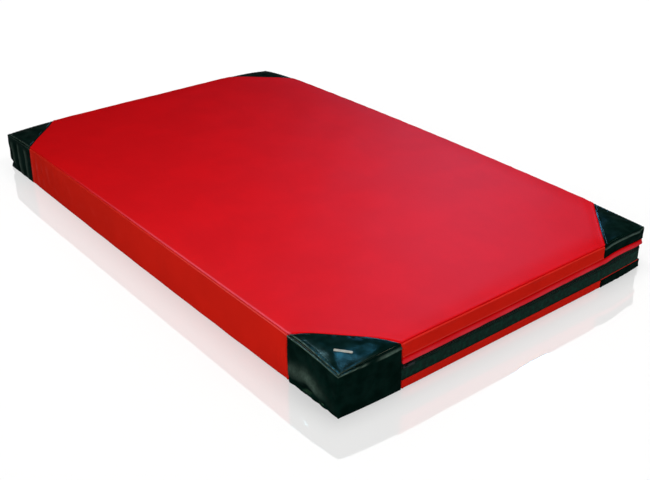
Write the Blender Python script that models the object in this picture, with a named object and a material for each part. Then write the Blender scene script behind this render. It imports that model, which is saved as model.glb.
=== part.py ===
"""Gymnastics mat: a foam block in a sewn cover with leatherette corners and a zip across one end.

Metres, +Z up. The mat lies flat on z = 0 with its middle at the origin. Its length runs along X, the zip
crosses the +X end and turns the +X +Y corner onto the back. The four corners are called near (+X -Y),
left (-X -Y), back (-X +Y) and right (+X +Y).

Every piece is first laid out on a plain box, where each layer of the cover has its own depth below the
box's faces. One function then turns that box into the mat: it rounds the edges, draws the zip end's
corners in, bulges the back side, pulls the tips down and settles the underside on the floor, so that all
layers keep their clearance.
"""
import math

import bmesh
import bpy
from mathutils import Vector

# Overall sizes of the mat
LENGTH = 2.0
WIDTH = 1.2
THICKNESS = 0.150

# Shape of the filled cover
EDGE_RADIUS = 0.010
EDGE_FALL = 0.005
EDGE_FALL_REACH = 0.080
NEAR_CORNER_DIP = 0.016
LEFT_CORNER_DIP = 0.009
BACK_CORNER_DIP = 0.013
RIGHT_CORNER_DIP = 0.003
END_DRAW = 0.009
BACK_BULGE = 0.024

# Cloth, leatherette and the clearance between layers
PATCH_THICKNESS = 0.0012
CLOTH_THICKNESS = 0.0008
CLEARANCE = 0.0003
SEAM_ALLOWANCE = 0.012

# Corner patches
PATCH_LEG = 0.200
LOWER_PATCH_HEIGHT = 0.025

# Zip end: heights are above the floor on the plain box
LOWER_BAND_HEIGHT = 0.028
CHAIN_HEIGHT = 0.0715
FLAP_HEIGHT = 0.024
FLAP_LIP = 0.0045
FLAP_FOLD = 0.0034
HEM_WIDTH = 0.020
BACK_RUN = 0.300

# How the flap bends: rows as shares of its height above the roll, and how late it leaves the band
FLAP_ROWS = (0.0, 0.25, 0.55, 0.85)
FLAP_CURVE = 1.4

# Zip tapes, facing and teeth
TAPE_THICKNESS = 0.0006
TAPE_WIDTH = 0.022
FACING_THICKNESS = 0.0008
FACING_OVERLAP = 0.008
FACING_MARGIN = 0.0020
COIL_WIDTH = 0.0028
COIL_THICKNESS = 0.0015
CHAIN_SLIT = 0.0014
CHAIN_TUCK = 0.010
STOP_LENGTH = 0.0030
STOP_THICKNESS = 0.0009

# Slider and pull tab
SLIDER_START = 0.0155
PLATE_LENGTH = 0.0140
PLATE_THICKNESS = 0.0010
PLATE_FLARE = 0.0010
FLANGE_THICKNESS = 0.0012
BRIDGE_LENGTH = 0.0090
BRIDGE_WIDTH = 0.0020
BRIDGE_THICKNESS = 0.0009
TAB_LENGTH = 0.0280
TAB_WIDTH = 0.0080
TAB_THICKNESS = 0.0012
TAB_EYE_LENGTH = 0.0052
RUNNING_GAP = 0.0006

# Cuts across a patch's leg, across a rounded edge, along the bulging back and round the tab's end
LATTICE_STEPS = 4
EDGE_STEPS = 2
BULGE_STEPS = 6
TAB_END_STEPS = 8

# Places closer than this are the same, and a face that leans less than this, in degrees, is level
SAME_PLACE = 1e-5
LEVEL_ANGLE = 25

# Least rise of a level face's normal
LEVEL_NORMAL = math.cos(math.radians(LEVEL_ANGLE))

# Half sizes, and the depths of the layers below the plain box
HALF_LENGTH = LENGTH / 2
HALF_WIDTH = WIDTH / 2
LATTICE = PATCH_LEG / LATTICE_STEPS
COVER_DEPTH = PATCH_THICKNESS + CLEARANCE
ALLOWANCE_DEPTH = COVER_DEPTH + CLOTH_THICKNESS + CLEARANCE
TAPE_DEPTH = ALLOWANCE_DEPTH + max(CLOTH_THICKNESS, FACING_THICKNESS) + CLEARANCE
BACK_PLATE_DEPTH = TAPE_DEPTH + TAPE_THICKNESS + CLEARANCE
CORE_SIDE_DEPTH = ALLOWANCE_DEPTH + CLOTH_THICKNESS + CLEARANCE
CORE_ZIP_DEPTH = BACK_PLATE_DEPTH + PLATE_THICKNESS + CLEARANCE
COIL_DEPTH = TAPE_DEPTH - CLEARANCE - COIL_THICKNESS
FRONT_PLATE_DEPTH = COIL_DEPTH - CLEARANCE - PLATE_THICKNESS
FLAP_DEPTH = COVER_DEPTH - CLEARANCE

# Heights and places along the zip
CHAIN_HALF = CHAIN_SLIT / 2 + COIL_WIDTH
PLATE_HALF = CHAIN_HALF + CLEARANCE + FLANGE_THICKNESS
FLAP_BOTTOM = CHAIN_HEIGHT + max(PLATE_HALF + PLATE_FLARE, TAB_WIDTH / 2) + RUNNING_GAP
FLAP_TOP = FLAP_BOTTOM + FLAP_HEIGHT
FACING_TOP = CHAIN_HEIGHT - PLATE_HALF - PLATE_FLARE - FACING_MARGIN
HEM_BOTTOM = FLAP_BOTTOM + RUNNING_GAP
PATCH_EDGE_Y = PATCH_LEG - HALF_WIDTH
BACK_RUN_X = HALF_LENGTH - BACK_RUN
SLIDER_Y = PATCH_EDGE_Y + SLIDER_START
NEAR_STOP_Y = SLIDER_Y - PLATE_LENGTH / 2 - CLEARANCE - STOP_LENGTH
FAR_STOP_X = BACK_RUN_X + CHAIN_TUCK

# The pull tab's bar turns between the front plate and the bridge
BAR_REACH = TAB_THICKNESS * math.sqrt(0.5)
PIN_DEPTH = FRONT_PLATE_DEPTH - CLEARANCE - BAR_REACH
BRIDGE_DEPTH = PIN_DEPTH - BAR_REACH - CLEARANCE

# The flap stands out at +X and the back bulges at +Y, so the mat is moved to keep its middle at the origin
SHIFT_X = FLAP_LIP / 2
SHIFT_Y = (BACK_BULGE - COVER_DEPTH * (1 + BACK_BULGE / HALF_WIDTH)) / 2

CORNERS = {
    "near": (1, -1),
    "left": (-1, -1),
    "back": (-1, 1),
    "right": (1, 1),
}


def clamp(value, low, high):
    return max(low, min(high, value))


def fall(distance, reach):
    """One at an edge, easing to nothing at the given reach from it."""
    return max(0.0, 1.0 - distance / reach) ** 2


def rounded(point):
    """Turns the box's square edges into round ones, each layer on its own radius."""
    kept = Vector((
        clamp(point.x, EDGE_RADIUS - HALF_LENGTH, HALF_LENGTH - EDGE_RADIUS),
        clamp(point.y, EDGE_RADIUS - HALF_WIDTH, HALF_WIDTH - EDGE_RADIUS),
        clamp(point.z, EDGE_RADIUS, THICKNESS - EDGE_RADIUS),
    ))
    outward = point - kept
    reach = max(abs(outward.x), abs(outward.y), abs(outward.z))
    if reach > 0:
        outward *= reach / outward.length
    return kept + outward


def bare_share(end_distance, side_distance):
    """Nothing under a corner patch, rising to one a lattice step beyond its long edge."""
    beyond = end_distance + side_distance - PATCH_LEG
    return clamp(beyond / LATTICE, 0.0, 1.0)


def bulge(flat):
    """How far the back side stands out, as a share of the half width: most halfway along."""
    if flat.y < 0:
        return 0.0
    return BACK_BULGE / HALF_WIDTH * max(1 - (flat.x / HALF_LENGTH) ** 2, 0.0)


def corner_dip(flat):
    """How far the tip of the corner on this quarter of the mat dips."""
    if flat.x > 0:
        return RIGHT_CORNER_DIP if flat.y > 0 else NEAR_CORNER_DIP
    return BACK_CORNER_DIP if flat.y > 0 else LEFT_CORNER_DIP


def drawn(point):
    """Places a point of the plain box on the filled mat."""
    flat = rounded(point)
    end_distance = max(HALF_LENGTH - abs(flat.x), 0.0)
    side_distance = max(HALF_WIDTH - abs(flat.y), 0.0)
    end_draw = END_DRAW * fall(side_distance, PATCH_LEG) if flat.x > 0 else 0.0
    near_end = fall(end_distance, EDGE_FALL_REACH)
    near_side = fall(side_distance, EDGE_FALL_REACH)
    edge_fall = EDGE_FALL * (1 - (1 - near_end) * (1 - near_side))
    dip = corner_dip(flat) * fall(end_distance, PATCH_LEG) * fall(side_distance, PATCH_LEG)
    reach = LOWER_BAND_HEIGHT - COVER_DEPTH
    sunk = clamp((LOWER_BAND_HEIGHT - flat.z) / reach, 0.0, 1.0)
    swollen = clamp((LOWER_BAND_HEIGHT - THICKNESS + flat.z) / reach, 0.0, 1.0)
    settle = COVER_DEPTH * bare_share(end_distance, side_distance) * (sunk - swollen)
    return Vector((
        flat.x * (1 - end_draw / HALF_LENGTH) - SHIFT_X,
        flat.y * (1 + bulge(flat)) - SHIFT_Y,
        (flat.z - settle) * (1 - (edge_fall + dip) / THICKNESS),
    ))


def edge_stations(half):
    """Cut lines across one face: the lattice of the corner patches and the rounded edges."""
    inward = [LATTICE * step for step in range(1, LATTICE_STEPS + 2)]
    inward += [EDGE_RADIUS * step / EDGE_STEPS for step in range(1, EDGE_STEPS + 1)]
    stations = [half - distance for distance in inward]
    return sorted([-station for station in stations] + stations)


def bulge_stations():
    """Cut lines along the bulging back, between the end of the zip's run and its mirrored place."""
    return [BACK_RUN_X * (2 * step / BULGE_STEPS - 1) for step in range(BULGE_STEPS + 1)]


X_STATIONS = edge_stations(HALF_LENGTH) + bulge_stations()
Y_STATIONS = edge_stations(HALF_WIDTH)
LOW_STATIONS = [EDGE_RADIUS * step / EDGE_STEPS for step in range(1, EDGE_STEPS + 1)]
Z_STATIONS = LOW_STATIONS + [THICKNESS - height for height in LOW_STATIONS]


def box(low, high):
    """A closed box between two corners."""
    mesh = bmesh.new()
    bmesh.ops.create_cube(mesh, size=1.0)
    size = [top - bottom for bottom, top in zip(low, high)]
    middle = [(bottom + top) / 2 for bottom, top in zip(low, high)]
    bmesh.ops.scale(mesh, vec=size, verts=mesh.verts)
    bmesh.ops.translate(mesh, vec=middle, verts=mesh.verts)
    return mesh


def extruded(outline, along):
    """A flat outline extruded along a vector into a closed solid."""
    mesh = bmesh.new()
    face = mesh.faces.new([mesh.verts.new(point) for point in outline])
    grown = bmesh.ops.extrude_face_region(mesh, geom=[face])
    moved = [item for item in grown["geom"] if isinstance(item, bmesh.types.BMVert)]
    bmesh.ops.translate(mesh, vec=along, verts=moved)
    bmesh.ops.recalc_face_normals(mesh, faces=mesh.faces)
    return mesh


def extrude_faces(mesh, faces):
    """Extrudes faces of a closed solid in place and returns the new vertices, still to be moved."""
    grown = bmesh.ops.extrude_face_region(mesh, geom=faces)
    kept = [face for face in faces if face.is_valid]
    bmesh.ops.delete(mesh, geom=kept, context="FACES_ONLY")
    return [item for item in grown["geom"] if isinstance(item, bmesh.types.BMVert)]


def cut(mesh, axis, places):
    """Adds edge loops where the mesh crosses the given places along an axis."""
    for place in places:
        point = Vector((0, 0, 0))
        normal = Vector((0, 0, 0))
        point[axis] = place
        normal[axis] = 1
        geometry = mesh.verts[:] + mesh.edges[:] + mesh.faces[:]
        bmesh.ops.bisect_plane(mesh, geom=geometry, plane_co=point, plane_no=normal, dist=1e-6)


def trim(mesh, point, outward):
    """Removes what lies beyond a plane and closes the cut."""
    geometry = mesh.verts[:] + mesh.edges[:] + mesh.faces[:]
    bmesh.ops.bisect_plane(mesh, geom=geometry, plane_co=point, plane_no=outward, dist=1e-6, clear_outer=True)
    rim = [edge for edge in mesh.edges if edge.is_boundary]
    bmesh.ops.holes_fill(mesh, edges=rim, sides=0)


def split_along_corners(mesh):
    """Splits the flat faces near each corner along the lines on which the corner's dip is level."""
    mesh.normal_update()
    for face in list(mesh.faces):
        middle = face.calc_center_median()
        in_reach = (
            HALF_LENGTH - abs(middle.x) < PATCH_LEG + LATTICE
            and HALF_WIDTH - abs(middle.y) < PATCH_LEG + LATTICE
        )
        if in_reach and len(face.verts) == 4 and abs(face.normal.z) > LEVEL_NORMAL:
            ranked = sorted(face.verts, key=lambda vert: abs(vert.co.x) + abs(vert.co.y))
            bmesh.utils.face_split(face, ranked[1], ranked[2])


def cut_stations(mesh):
    """Cuts a piece at every shared station, so that neighbouring layers bend on the same lines."""
    cut(mesh, 0, X_STATIONS)
    cut(mesh, 1, Y_STATIONS)
    cut(mesh, 2, Z_STATIONS)


def add_object(name, mesh, material, sharp_angle=40, origin=Vector((0, 0, 0))):
    """Draws a laid-out piece onto the mat and adds it to the mat's collection."""
    for vert in mesh.verts:
        vert.co = drawn(vert.co) - origin
    data = bpy.data.meshes.new(name)
    mesh.to_mesh(data)
    mesh.free()
    data.shade_smooth()
    data.set_sharp_from_angle(angle=math.radians(sharp_angle))
    data.materials.append(material)
    part = bpy.data.objects.new(name, data)
    part.location = origin
    mat_parts.objects.link(part)
    return part


def make_material(name, colour, roughness, metallic=0.0):
    material = bpy.data.materials.new(name)
    material.use_nodes = True
    shader = material.node_tree.nodes["Principled BSDF"]
    shader.inputs["Base Color"].default_value = (*colour, 1.0)
    shader.inputs["Roughness"].default_value = roughness
    shader.inputs["Metallic"].default_value = metallic
    return material


def make_core():
    """The foam block, set back further behind the zip to clear the slider's back plate."""
    mesh = box(
        (CORE_SIDE_DEPTH - HALF_LENGTH, CORE_SIDE_DEPTH - HALF_WIDTH, ALLOWANCE_DEPTH),
        (HALF_LENGTH - CORE_ZIP_DEPTH, HALF_WIDTH - CORE_ZIP_DEPTH, THICKNESS - ALLOWANCE_DEPTH),
    )
    cut_stations(mesh)
    split_along_corners(mesh)
    add_object("foam_core", mesh, foam)


def make_panel(name, material, top):
    """The top or bottom panel: a cloth sheet with its seam allowance turned in behind the walls."""
    outer = THICKNESS - COVER_DEPTH if top else COVER_DEPTH
    inward = -1 if top else 1
    inner = outer + inward * CLOTH_THICKNESS
    reach_x = HALF_LENGTH - ALLOWANCE_DEPTH
    reach_y = HALF_WIDTH - ALLOWANCE_DEPTH
    mesh = box((-reach_x, -reach_y, min(inner, outer)), (reach_x, reach_y, max(inner, outer)))
    border_x = reach_x - CLOTH_THICKNESS
    border_y = reach_y - CLOTH_THICKNESS
    cut(mesh, 0, (-border_x, border_x))
    cut(mesh, 1, (-border_y, border_y))
    mesh.normal_update()
    border = []
    for face in mesh.faces:
        middle = face.calc_center_median()
        on_border = abs(middle.x) > border_x or abs(middle.y) > border_y
        if on_border and face.normal.z * inward > LEVEL_NORMAL:
            border.append(face)
    turned = extrude_faces(mesh, border)
    bmesh.ops.translate(mesh, vec=(0, 0, inward * SEAM_ALLOWANCE), verts=turned)
    bmesh.ops.recalc_face_normals(mesh, faces=mesh.faces)
    cut_stations(mesh)
    split_along_corners(mesh)
    add_object(name, mesh, material)


def make_walls():
    """The three plain walls. The left end wall fits between the long ones."""
    outer_x = HALF_LENGTH - COVER_DEPTH
    outer_y = HALF_WIDTH - COVER_DEPTH
    inner_x = outer_x - CLOTH_THICKNESS
    inner_y = outer_y - CLOTH_THICKNESS
    fitted_y = inner_y - CLEARANCE
    low = COVER_DEPTH
    high = THICKNESS - COVER_DEPTH
    spans = {
        "front_side_wall": ((-outer_x, -outer_y, low), (outer_x, -inner_y, high)),
        "left_end_wall": ((-outer_x, -fitted_y, low), (-inner_x, fitted_y, high)),
        "back_side_wall": ((-outer_x, inner_y, low), (BACK_RUN_X - CLEARANCE, outer_y, high)),
    }
    for name, (start, end) in spans.items():
        mesh = box(start, end)
        cut_stations(mesh)
        add_object(name, mesh, red_cloth)


def zip_run(depth, thickness, bottom, top, start=None, end=BACK_RUN_X):
    """A strip along the zip's run: across the +X end, round the right corner and along the back."""
    outer_x = HALF_LENGTH - depth
    outer_y = HALF_WIDTH - depth
    inner_x = outer_x - thickness
    inner_y = outer_y - thickness
    if start is None:
        start = ALLOWANCE_DEPTH - HALF_WIDTH
    outline = (
        (inner_x, start),
        (outer_x, start),
        (outer_x, outer_y),
        (end, outer_y),
        (end, inner_y),
        (inner_x, inner_y),
    )
    mesh = extruded([(x, y, bottom) for x, y in outline], (0, 0, top - bottom))
    cut_stations(mesh)
    return mesh


def move_layer(vert, old_depth, new_depth):
    """Moves a point of a strip along the zip's run from one depth to another."""
    if abs(HALF_LENGTH - vert.co.x - old_depth) < SAME_PLACE:
        vert.co.x = HALF_LENGTH - new_depth
    if abs(HALF_WIDTH - vert.co.y - old_depth) < SAME_PLACE:
        vert.co.y = HALF_WIDTH - new_depth


def layer_depth(vert):
    """Depth of a strip's point below the face that it runs along."""
    return min(HALF_LENGTH - vert.co.x, HALF_WIDTH - vert.co.y)


def make_bands():
    """The red bands beside the zip. The upper one's lower edge is folded back inside as a hem."""
    back_depth = COVER_DEPTH + CLOTH_THICKNESS
    mesh = zip_run(COVER_DEPTH, CLOTH_THICKNESS, HEM_BOTTOM, THICKNESS - COVER_DEPTH)
    hem_top = HEM_BOTTOM + HEM_WIDTH
    cut(mesh, 2, (hem_top,))
    mesh.normal_update()
    folded = []
    for face in mesh.faces:
        on_back = all(abs(layer_depth(vert) - back_depth) < SAME_PLACE for vert in face.verts)
        if on_back and abs(face.normal.z) < LEVEL_NORMAL and face.calc_center_median().z < hem_top:
            folded.append(face)
    for vert in extrude_faces(mesh, folded):
        move_layer(vert, back_depth, TAPE_DEPTH - CLEARANCE)
    bmesh.ops.recalc_face_normals(mesh, faces=mesh.faces)
    add_object("zip_end_upper_band", mesh, red_cloth)
    mesh = zip_run(COVER_DEPTH, CLOTH_THICKNESS, COVER_DEPTH, LOWER_BAND_HEIGHT)
    add_object("zip_end_lower_band", mesh, red_cloth)


def make_flap():
    """The flap over the zip: flat where it is sewn on, with a rolled fold that stands out below."""
    sewn_depth = FLAP_DEPTH - 2 * CLOTH_THICKNESS
    mesh = zip_run(sewn_depth, 2 * CLOTH_THICKNESS, FLAP_BOTTOM, FLAP_TOP, start=PATCH_EDGE_Y + CLEARANCE)
    rolled = FLAP_FOLD / 2
    free_height = FLAP_HEIGHT - rolled
    cut(mesh, 2, [FLAP_BOTTOM + rolled + free_height * share for share in FLAP_ROWS])
    for vert in mesh.verts:
        outside = abs(layer_depth(vert) - sewn_depth) < SAME_PLACE
        down = clamp((FLAP_TOP - vert.co.z) / free_height, 0.0, 1.0)
        face_depth = sewn_depth - (sewn_depth + FLAP_LIP) * down ** FLAP_CURVE
        fold = 2 * CLOTH_THICKNESS + (FLAP_FOLD - 2 * CLOTH_THICKNESS) * down
        if vert.co.z < FLAP_BOTTOM + SAME_PLACE:
            face_depth += fold / 4
            fold /= 2
        if outside:
            move_layer(vert, sewn_depth, face_depth)
        else:
            move_layer(vert, FLAP_DEPTH, face_depth + fold)
    add_object("zip_flap", mesh, red_cloth, sharp_angle=60)


def make_tapes_and_teeth():
    """The facing, the two tapes, and the two rows of teeth with the slit that the slider's web runs in."""
    slit_bottom = CHAIN_HEIGHT - CHAIN_SLIT / 2
    slit_top = CHAIN_HEIGHT + CHAIN_SLIT / 2
    mesh = zip_run(ALLOWANCE_DEPTH, FACING_THICKNESS, LOWER_BAND_HEIGHT - FACING_OVERLAP, FACING_TOP)
    add_object("zip_facing", mesh, black_webbing)
    for name, bottom, top in (
        ("zip_lower_tape", slit_bottom - TAPE_WIDTH, slit_bottom),
        ("zip_upper_tape", slit_top, slit_top + TAPE_WIDTH),
    ):
        mesh = zip_run(TAPE_DEPTH, TAPE_THICKNESS, bottom, top)
        add_object(name, mesh, black_webbing)
    for name, bottom, top in (
        ("zip_lower_teeth", slit_bottom - COIL_WIDTH, slit_bottom),
        ("zip_upper_teeth", slit_top, slit_top + COIL_WIDTH),
    ):
        mesh = zip_run(
            COIL_DEPTH, COIL_THICKNESS, bottom, top,
            start=PATCH_EDGE_Y - CHAIN_TUCK,
            end=BACK_RUN_X + CLEARANCE,
        )
        add_object(name, mesh, black_plastic)


def on_end(depth, along, height):
    return (HALF_LENGTH - depth, along, height)


def on_back(depth, along, height):
    return (along, HALF_WIDTH - depth, height)


def make_stops():
    """Clips over both rows of teeth at the ends of the zip, with legs down to the tapes."""
    face = COIL_DEPTH - CLEARANCE
    foot = TAPE_DEPTH - CLEARANCE
    inner = CHAIN_HALF + CLEARANCE
    outer = inner + STOP_THICKNESS
    profile = (
        (face - STOP_THICKNESS, -outer),
        (face - STOP_THICKNESS, outer),
        (foot, outer),
        (foot, inner),
        (face, inner),
        (face, -inner),
        (foot, -inner),
        (foot, -outer),
    )
    for name, place, start, along in (
        ("zip_near_stop", on_end, NEAR_STOP_Y, (0, STOP_LENGTH, 0)),
        ("zip_far_stop", on_back, FAR_STOP_X, (STOP_LENGTH, 0, 0)),
    ):
        outline = [place(depth, start, CHAIN_HEIGHT + height) for depth, height in profile]
        add_object(name, extruded(outline, along), steel)


def slider_body():
    """Front plate with side flanges, web through the slit and back plate, as one extruded section."""
    outer_face = FRONT_PLATE_DEPTH
    inner_face = FRONT_PLATE_DEPTH + PLATE_THICKNESS
    flange_end = TAPE_DEPTH - CLEARANCE
    back_face = BACK_PLATE_DEPTH
    back_end = BACK_PLATE_DEPTH + PLATE_THICKNESS
    web = CHAIN_SLIT / 2 - CLEARANCE
    flange = CHAIN_HALF + CLEARANCE
    half_profile = [
        (outer_face, PLATE_HALF),
        (flange_end, PLATE_HALF),
        (flange_end, flange),
        (inner_face, flange),
        (inner_face, web),
        (back_face, web),
        (back_face, flange),
        (back_end, flange),
    ]
    profile = half_profile + [(depth, -height) for depth, height in reversed(half_profile)]
    start = SLIDER_Y - PLATE_LENGTH / 2
    outline = [on_end(depth, start, CHAIN_HEIGHT + height) for depth, height in profile]
    mesh = extruded(outline, (0, PLATE_LENGTH, 0))
    cut(mesh, 1, (SLIDER_Y - PLATE_LENGTH / 4, SLIDER_Y, SLIDER_Y + PLATE_LENGTH / 4))
    for vert in mesh.verts:
        height = vert.co.z - CHAIN_HEIGHT
        if abs(height) > PLATE_HALF - SAME_PLACE:
            ahead = clamp((vert.co.y - SLIDER_Y) / (PLATE_LENGTH / 2), 0.0, 1.0)
            vert.co.z += math.copysign(PLATE_FLARE * math.sin(ahead * math.pi / 2), height)
    return mesh


def slider_bridge():
    """The arch over the front plate that carries the pull tab's bar."""
    sunk = FRONT_PLATE_DEPTH + PLATE_THICKNESS / 2
    half = BRIDGE_LENGTH / 2
    inner_half = half - BRIDGE_THICKNESS
    outer_depth = BRIDGE_DEPTH - BRIDGE_THICKNESS
    shoulder = BRIDGE_THICKNESS
    profile = (
        (sunk, -half),
        (outer_depth + shoulder, -half),
        (outer_depth, shoulder - half),
        (outer_depth, half - shoulder),
        (outer_depth + shoulder, half),
        (sunk, half),
        (sunk, inner_half),
        (BRIDGE_DEPTH, inner_half),
        (BRIDGE_DEPTH, -inner_half),
        (sunk, -inner_half),
    )
    bottom = CHAIN_HEIGHT - BRIDGE_WIDTH / 2
    outline = [on_end(depth, SLIDER_Y + along, bottom) for depth, along in profile]
    return extruded(outline, (0, 0, BRIDGE_WIDTH))


def make_slider(pivot):
    """The slider's body and bridge, joined into one solid by a union."""
    slider = add_object("zip_slider", slider_body(), black_metal, origin=pivot)
    bridge = add_object("zip_slider_bridge_cutter", slider_bridge(), black_metal, origin=pivot)
    mat_parts.objects.unlink(bridge)
    cutters.objects.link(bridge)
    bridge.hide_render = True
    bridge.display_type = "WIRE"
    union = slider.modifiers.new("bridge", "BOOLEAN")
    union.operation = "UNION"
    union.solver = "EXACT"
    union.object = bridge
    return slider


def make_pull_tab(slider, pivot):
    """The tab: a round-ended plate with an eye, whose end bar lies under the slider's bridge."""
    bar_half = TAB_THICKNESS / 2
    eye_half = BRIDGE_WIDTH / 2 + RUNNING_GAP
    tip = TAB_LENGTH - TAB_WIDTH / 2
    outline = [(-bar_half, -TAB_WIDTH / 2), (tip, -TAB_WIDTH / 2)]
    for step in range(1, TAB_END_STEPS):
        angle = math.radians(-90 + 180 * step / TAB_END_STEPS)
        outline.append((tip + TAB_WIDTH / 2 * math.cos(angle), TAB_WIDTH / 2 * math.sin(angle)))
    outline += [(tip, TAB_WIDTH / 2), (-bar_half, TAB_WIDTH / 2)]
    outer_depth = PIN_DEPTH - TAB_THICKNESS / 2
    points = [on_end(outer_depth, SLIDER_Y + along, CHAIN_HEIGHT + height) for along, height in outline]
    tab = add_object("zip_pull_tab", extruded(points, (-TAB_THICKNESS, 0, 0)), black_metal, origin=pivot)
    eye_start = SLIDER_Y + bar_half
    opening = box(
        on_end(outer_depth + 2 * TAB_THICKNESS, eye_start, CHAIN_HEIGHT - eye_half),
        on_end(outer_depth - TAB_THICKNESS, eye_start + TAB_EYE_LENGTH, CHAIN_HEIGHT + eye_half),
    )
    eye = add_object("zip_pull_tab_eye_cutter", opening, black_metal, origin=pivot)
    mat_parts.objects.unlink(eye)
    cutters.objects.link(eye)
    eye.hide_render = True
    eye.display_type = "WIRE"
    cutout = tab.modifiers.new("eye", "BOOLEAN")
    cutout.operation = "DIFFERENCE"
    cutout.solver = "EXACT"
    cutout.object = eye
    tab.parent = slider
    tab.location = (0, 0, 0)


def flat_patch(name, signs, bottom, top):
    """A corner's triangle on the top or the underside, cut along its long edge."""
    sign_x, sign_y = signs
    inner = (sign_x * (HALF_LENGTH - PATCH_LEG), sign_y * (HALF_WIDTH - PATCH_LEG))
    outer = (sign_x * (HALF_LENGTH - COVER_DEPTH), sign_y * (HALF_WIDTH - COVER_DEPTH))
    low = [min(pair) for pair in zip(inner, outer)] + [bottom]
    high = [max(pair) for pair in zip(inner, outer)] + [top]
    mesh = box(low, high)
    cut_stations(mesh)
    split_along_corners(mesh)
    trim(mesh, (sign_x * HALF_LENGTH, inner[1], 0), (-sign_x, -sign_y, 0))
    add_object(name, mesh, leatherette)


def side_patch(name, signs, bottom, top):
    """A patch that wraps a corner of the mat's sides, as wide on the end as on the long side."""
    sign_x, sign_y = signs
    near_x = HALF_LENGTH - PATCH_LEG
    near_y = HALF_WIDTH - PATCH_LEG
    inner_x = HALF_LENGTH - PATCH_THICKNESS
    inner_y = HALF_WIDTH - PATCH_THICKNESS
    quarter = (
        (HALF_LENGTH, near_y),
        (HALF_LENGTH, HALF_WIDTH),
        (near_x, HALF_WIDTH),
        (near_x, inner_y),
        (inner_x, inner_y),
        (inner_x, near_y),
    )
    outline = [(sign_x * x, sign_y * y, bottom) for x, y in quarter]
    mesh = extruded(outline, (0, 0, top - bottom))
    cut_stations(mesh)
    add_object(name, mesh, leatherette)


def make_patches():
    for corner, signs in CORNERS.items():
        flat_patch(f"{corner}_corner_top_patch", signs, THICKNESS - PATCH_THICKNESS, THICKNESS)
        flat_patch(f"{corner}_corner_bottom_patch", signs, 0, PATCH_THICKNESS)
        if corner == "right":
            side_patch("right_corner_upper_side_patch", signs, FLAP_TOP + CLEARANCE, THICKNESS)
            side_patch("right_corner_lower_side_patch", signs, 0, LOWER_PATCH_HEIGHT)
        else:
            side_patch(f"{corner}_corner_side_patch", signs, 0, THICKNESS)


for old in list(bpy.data.objects):
    bpy.data.objects.remove(old)
mat_parts = bpy.data.collections.new("gymnastics_mat")
cutters = bpy.data.collections.new("cutters")
bpy.context.scene.collection.children.link(mat_parts)
bpy.context.scene.collection.children.link(cutters)

red_cloth = make_material("red_cloth", (0.52, 0.012, 0.022), 0.42)
leatherette = make_material("black_leatherette", (0.006, 0.011, 0.010), 0.22)
underside_cloth = make_material("underside_cloth", (0.020, 0.022, 0.022), 0.75)
foam = make_material("foam", (0.62, 0.60, 0.50), 0.95)
black_webbing = make_material("black_webbing", (0.010, 0.018, 0.016), 0.70)
black_plastic = make_material("black_plastic", (0.008, 0.010, 0.010), 0.35)
black_metal = make_material("black_metal", (0.015, 0.017, 0.018), 0.30, 0.8)
steel = make_material("steel", (0.35, 0.36, 0.37), 0.35, 1.0)

make_core()
make_panel("top_panel", red_cloth, top=True)
make_panel("bottom_panel", underside_cloth, top=False)
make_walls()
make_bands()
make_flap()
make_tapes_and_teeth()
make_stops()
tab_pivot = drawn(Vector(on_end(PIN_DEPTH, SLIDER_Y, CHAIN_HEIGHT)))
make_pull_tab(make_slider(tab_pivot), tab_pivot)
make_patches()
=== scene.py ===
"""Dresses the gymnastics mat: its sewn cover, corner patches, zip run, stitching, foam, floor and light.

Cloth is laid out flat, as it is cut: X runs along the piece, Y up or across it, and Z out of the cover.
Seams, ridges, puckers and folds are heights along Z. lay_on_mat then wraps the flat piece round the mat
in the same way as the frame was drawn, so every layer keeps its place.
"""
import math
from contextlib import contextmanager

import bpy
import numpy as np
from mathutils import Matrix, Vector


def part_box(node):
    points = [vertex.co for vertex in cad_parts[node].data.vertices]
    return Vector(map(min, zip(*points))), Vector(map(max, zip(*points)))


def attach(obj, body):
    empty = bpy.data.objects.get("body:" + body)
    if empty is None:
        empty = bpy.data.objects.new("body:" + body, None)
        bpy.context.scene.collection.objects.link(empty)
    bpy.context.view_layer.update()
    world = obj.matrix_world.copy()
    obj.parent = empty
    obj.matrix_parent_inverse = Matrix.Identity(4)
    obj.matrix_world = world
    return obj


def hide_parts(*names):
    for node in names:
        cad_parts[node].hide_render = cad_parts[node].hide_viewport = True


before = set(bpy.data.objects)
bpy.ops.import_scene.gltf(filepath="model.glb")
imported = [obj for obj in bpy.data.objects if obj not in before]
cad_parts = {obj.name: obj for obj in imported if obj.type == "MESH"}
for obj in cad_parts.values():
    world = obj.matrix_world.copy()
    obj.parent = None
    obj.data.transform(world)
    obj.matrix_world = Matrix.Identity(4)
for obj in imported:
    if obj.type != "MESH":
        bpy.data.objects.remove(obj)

bl_info = {
    "name": "Gymnastics mat cover",
    "version": (1, 0, 0),
    "blender": (4, 5, 0),
    "location": "View3D > Sidebar > Mat",
    "description": "Sews a cover round the mat's frame: panels, corner patches, zip run and stitching",
    "category": "Add Mesh",
}

# Overall size of the plain box, read from the frame, and how far the frame's middle lies from the box's
LEFT_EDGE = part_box("left_corner_side_patch")[0]
NEAR_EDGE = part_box("near_corner_side_patch")[1]
LENGTH = NEAR_EDGE.x - LEFT_EDGE.x
WIDTH = 1.2
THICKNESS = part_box("top_panel")[1].z
HALF_LENGTH = LENGTH / 2
HALF_WIDTH = WIDTH / 2
SHIFT_X = -(NEAR_EDGE.x + LEFT_EDGE.x) / 2
SHIFT_Y = -(LEFT_EDGE.y + HALF_WIDTH)

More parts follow.
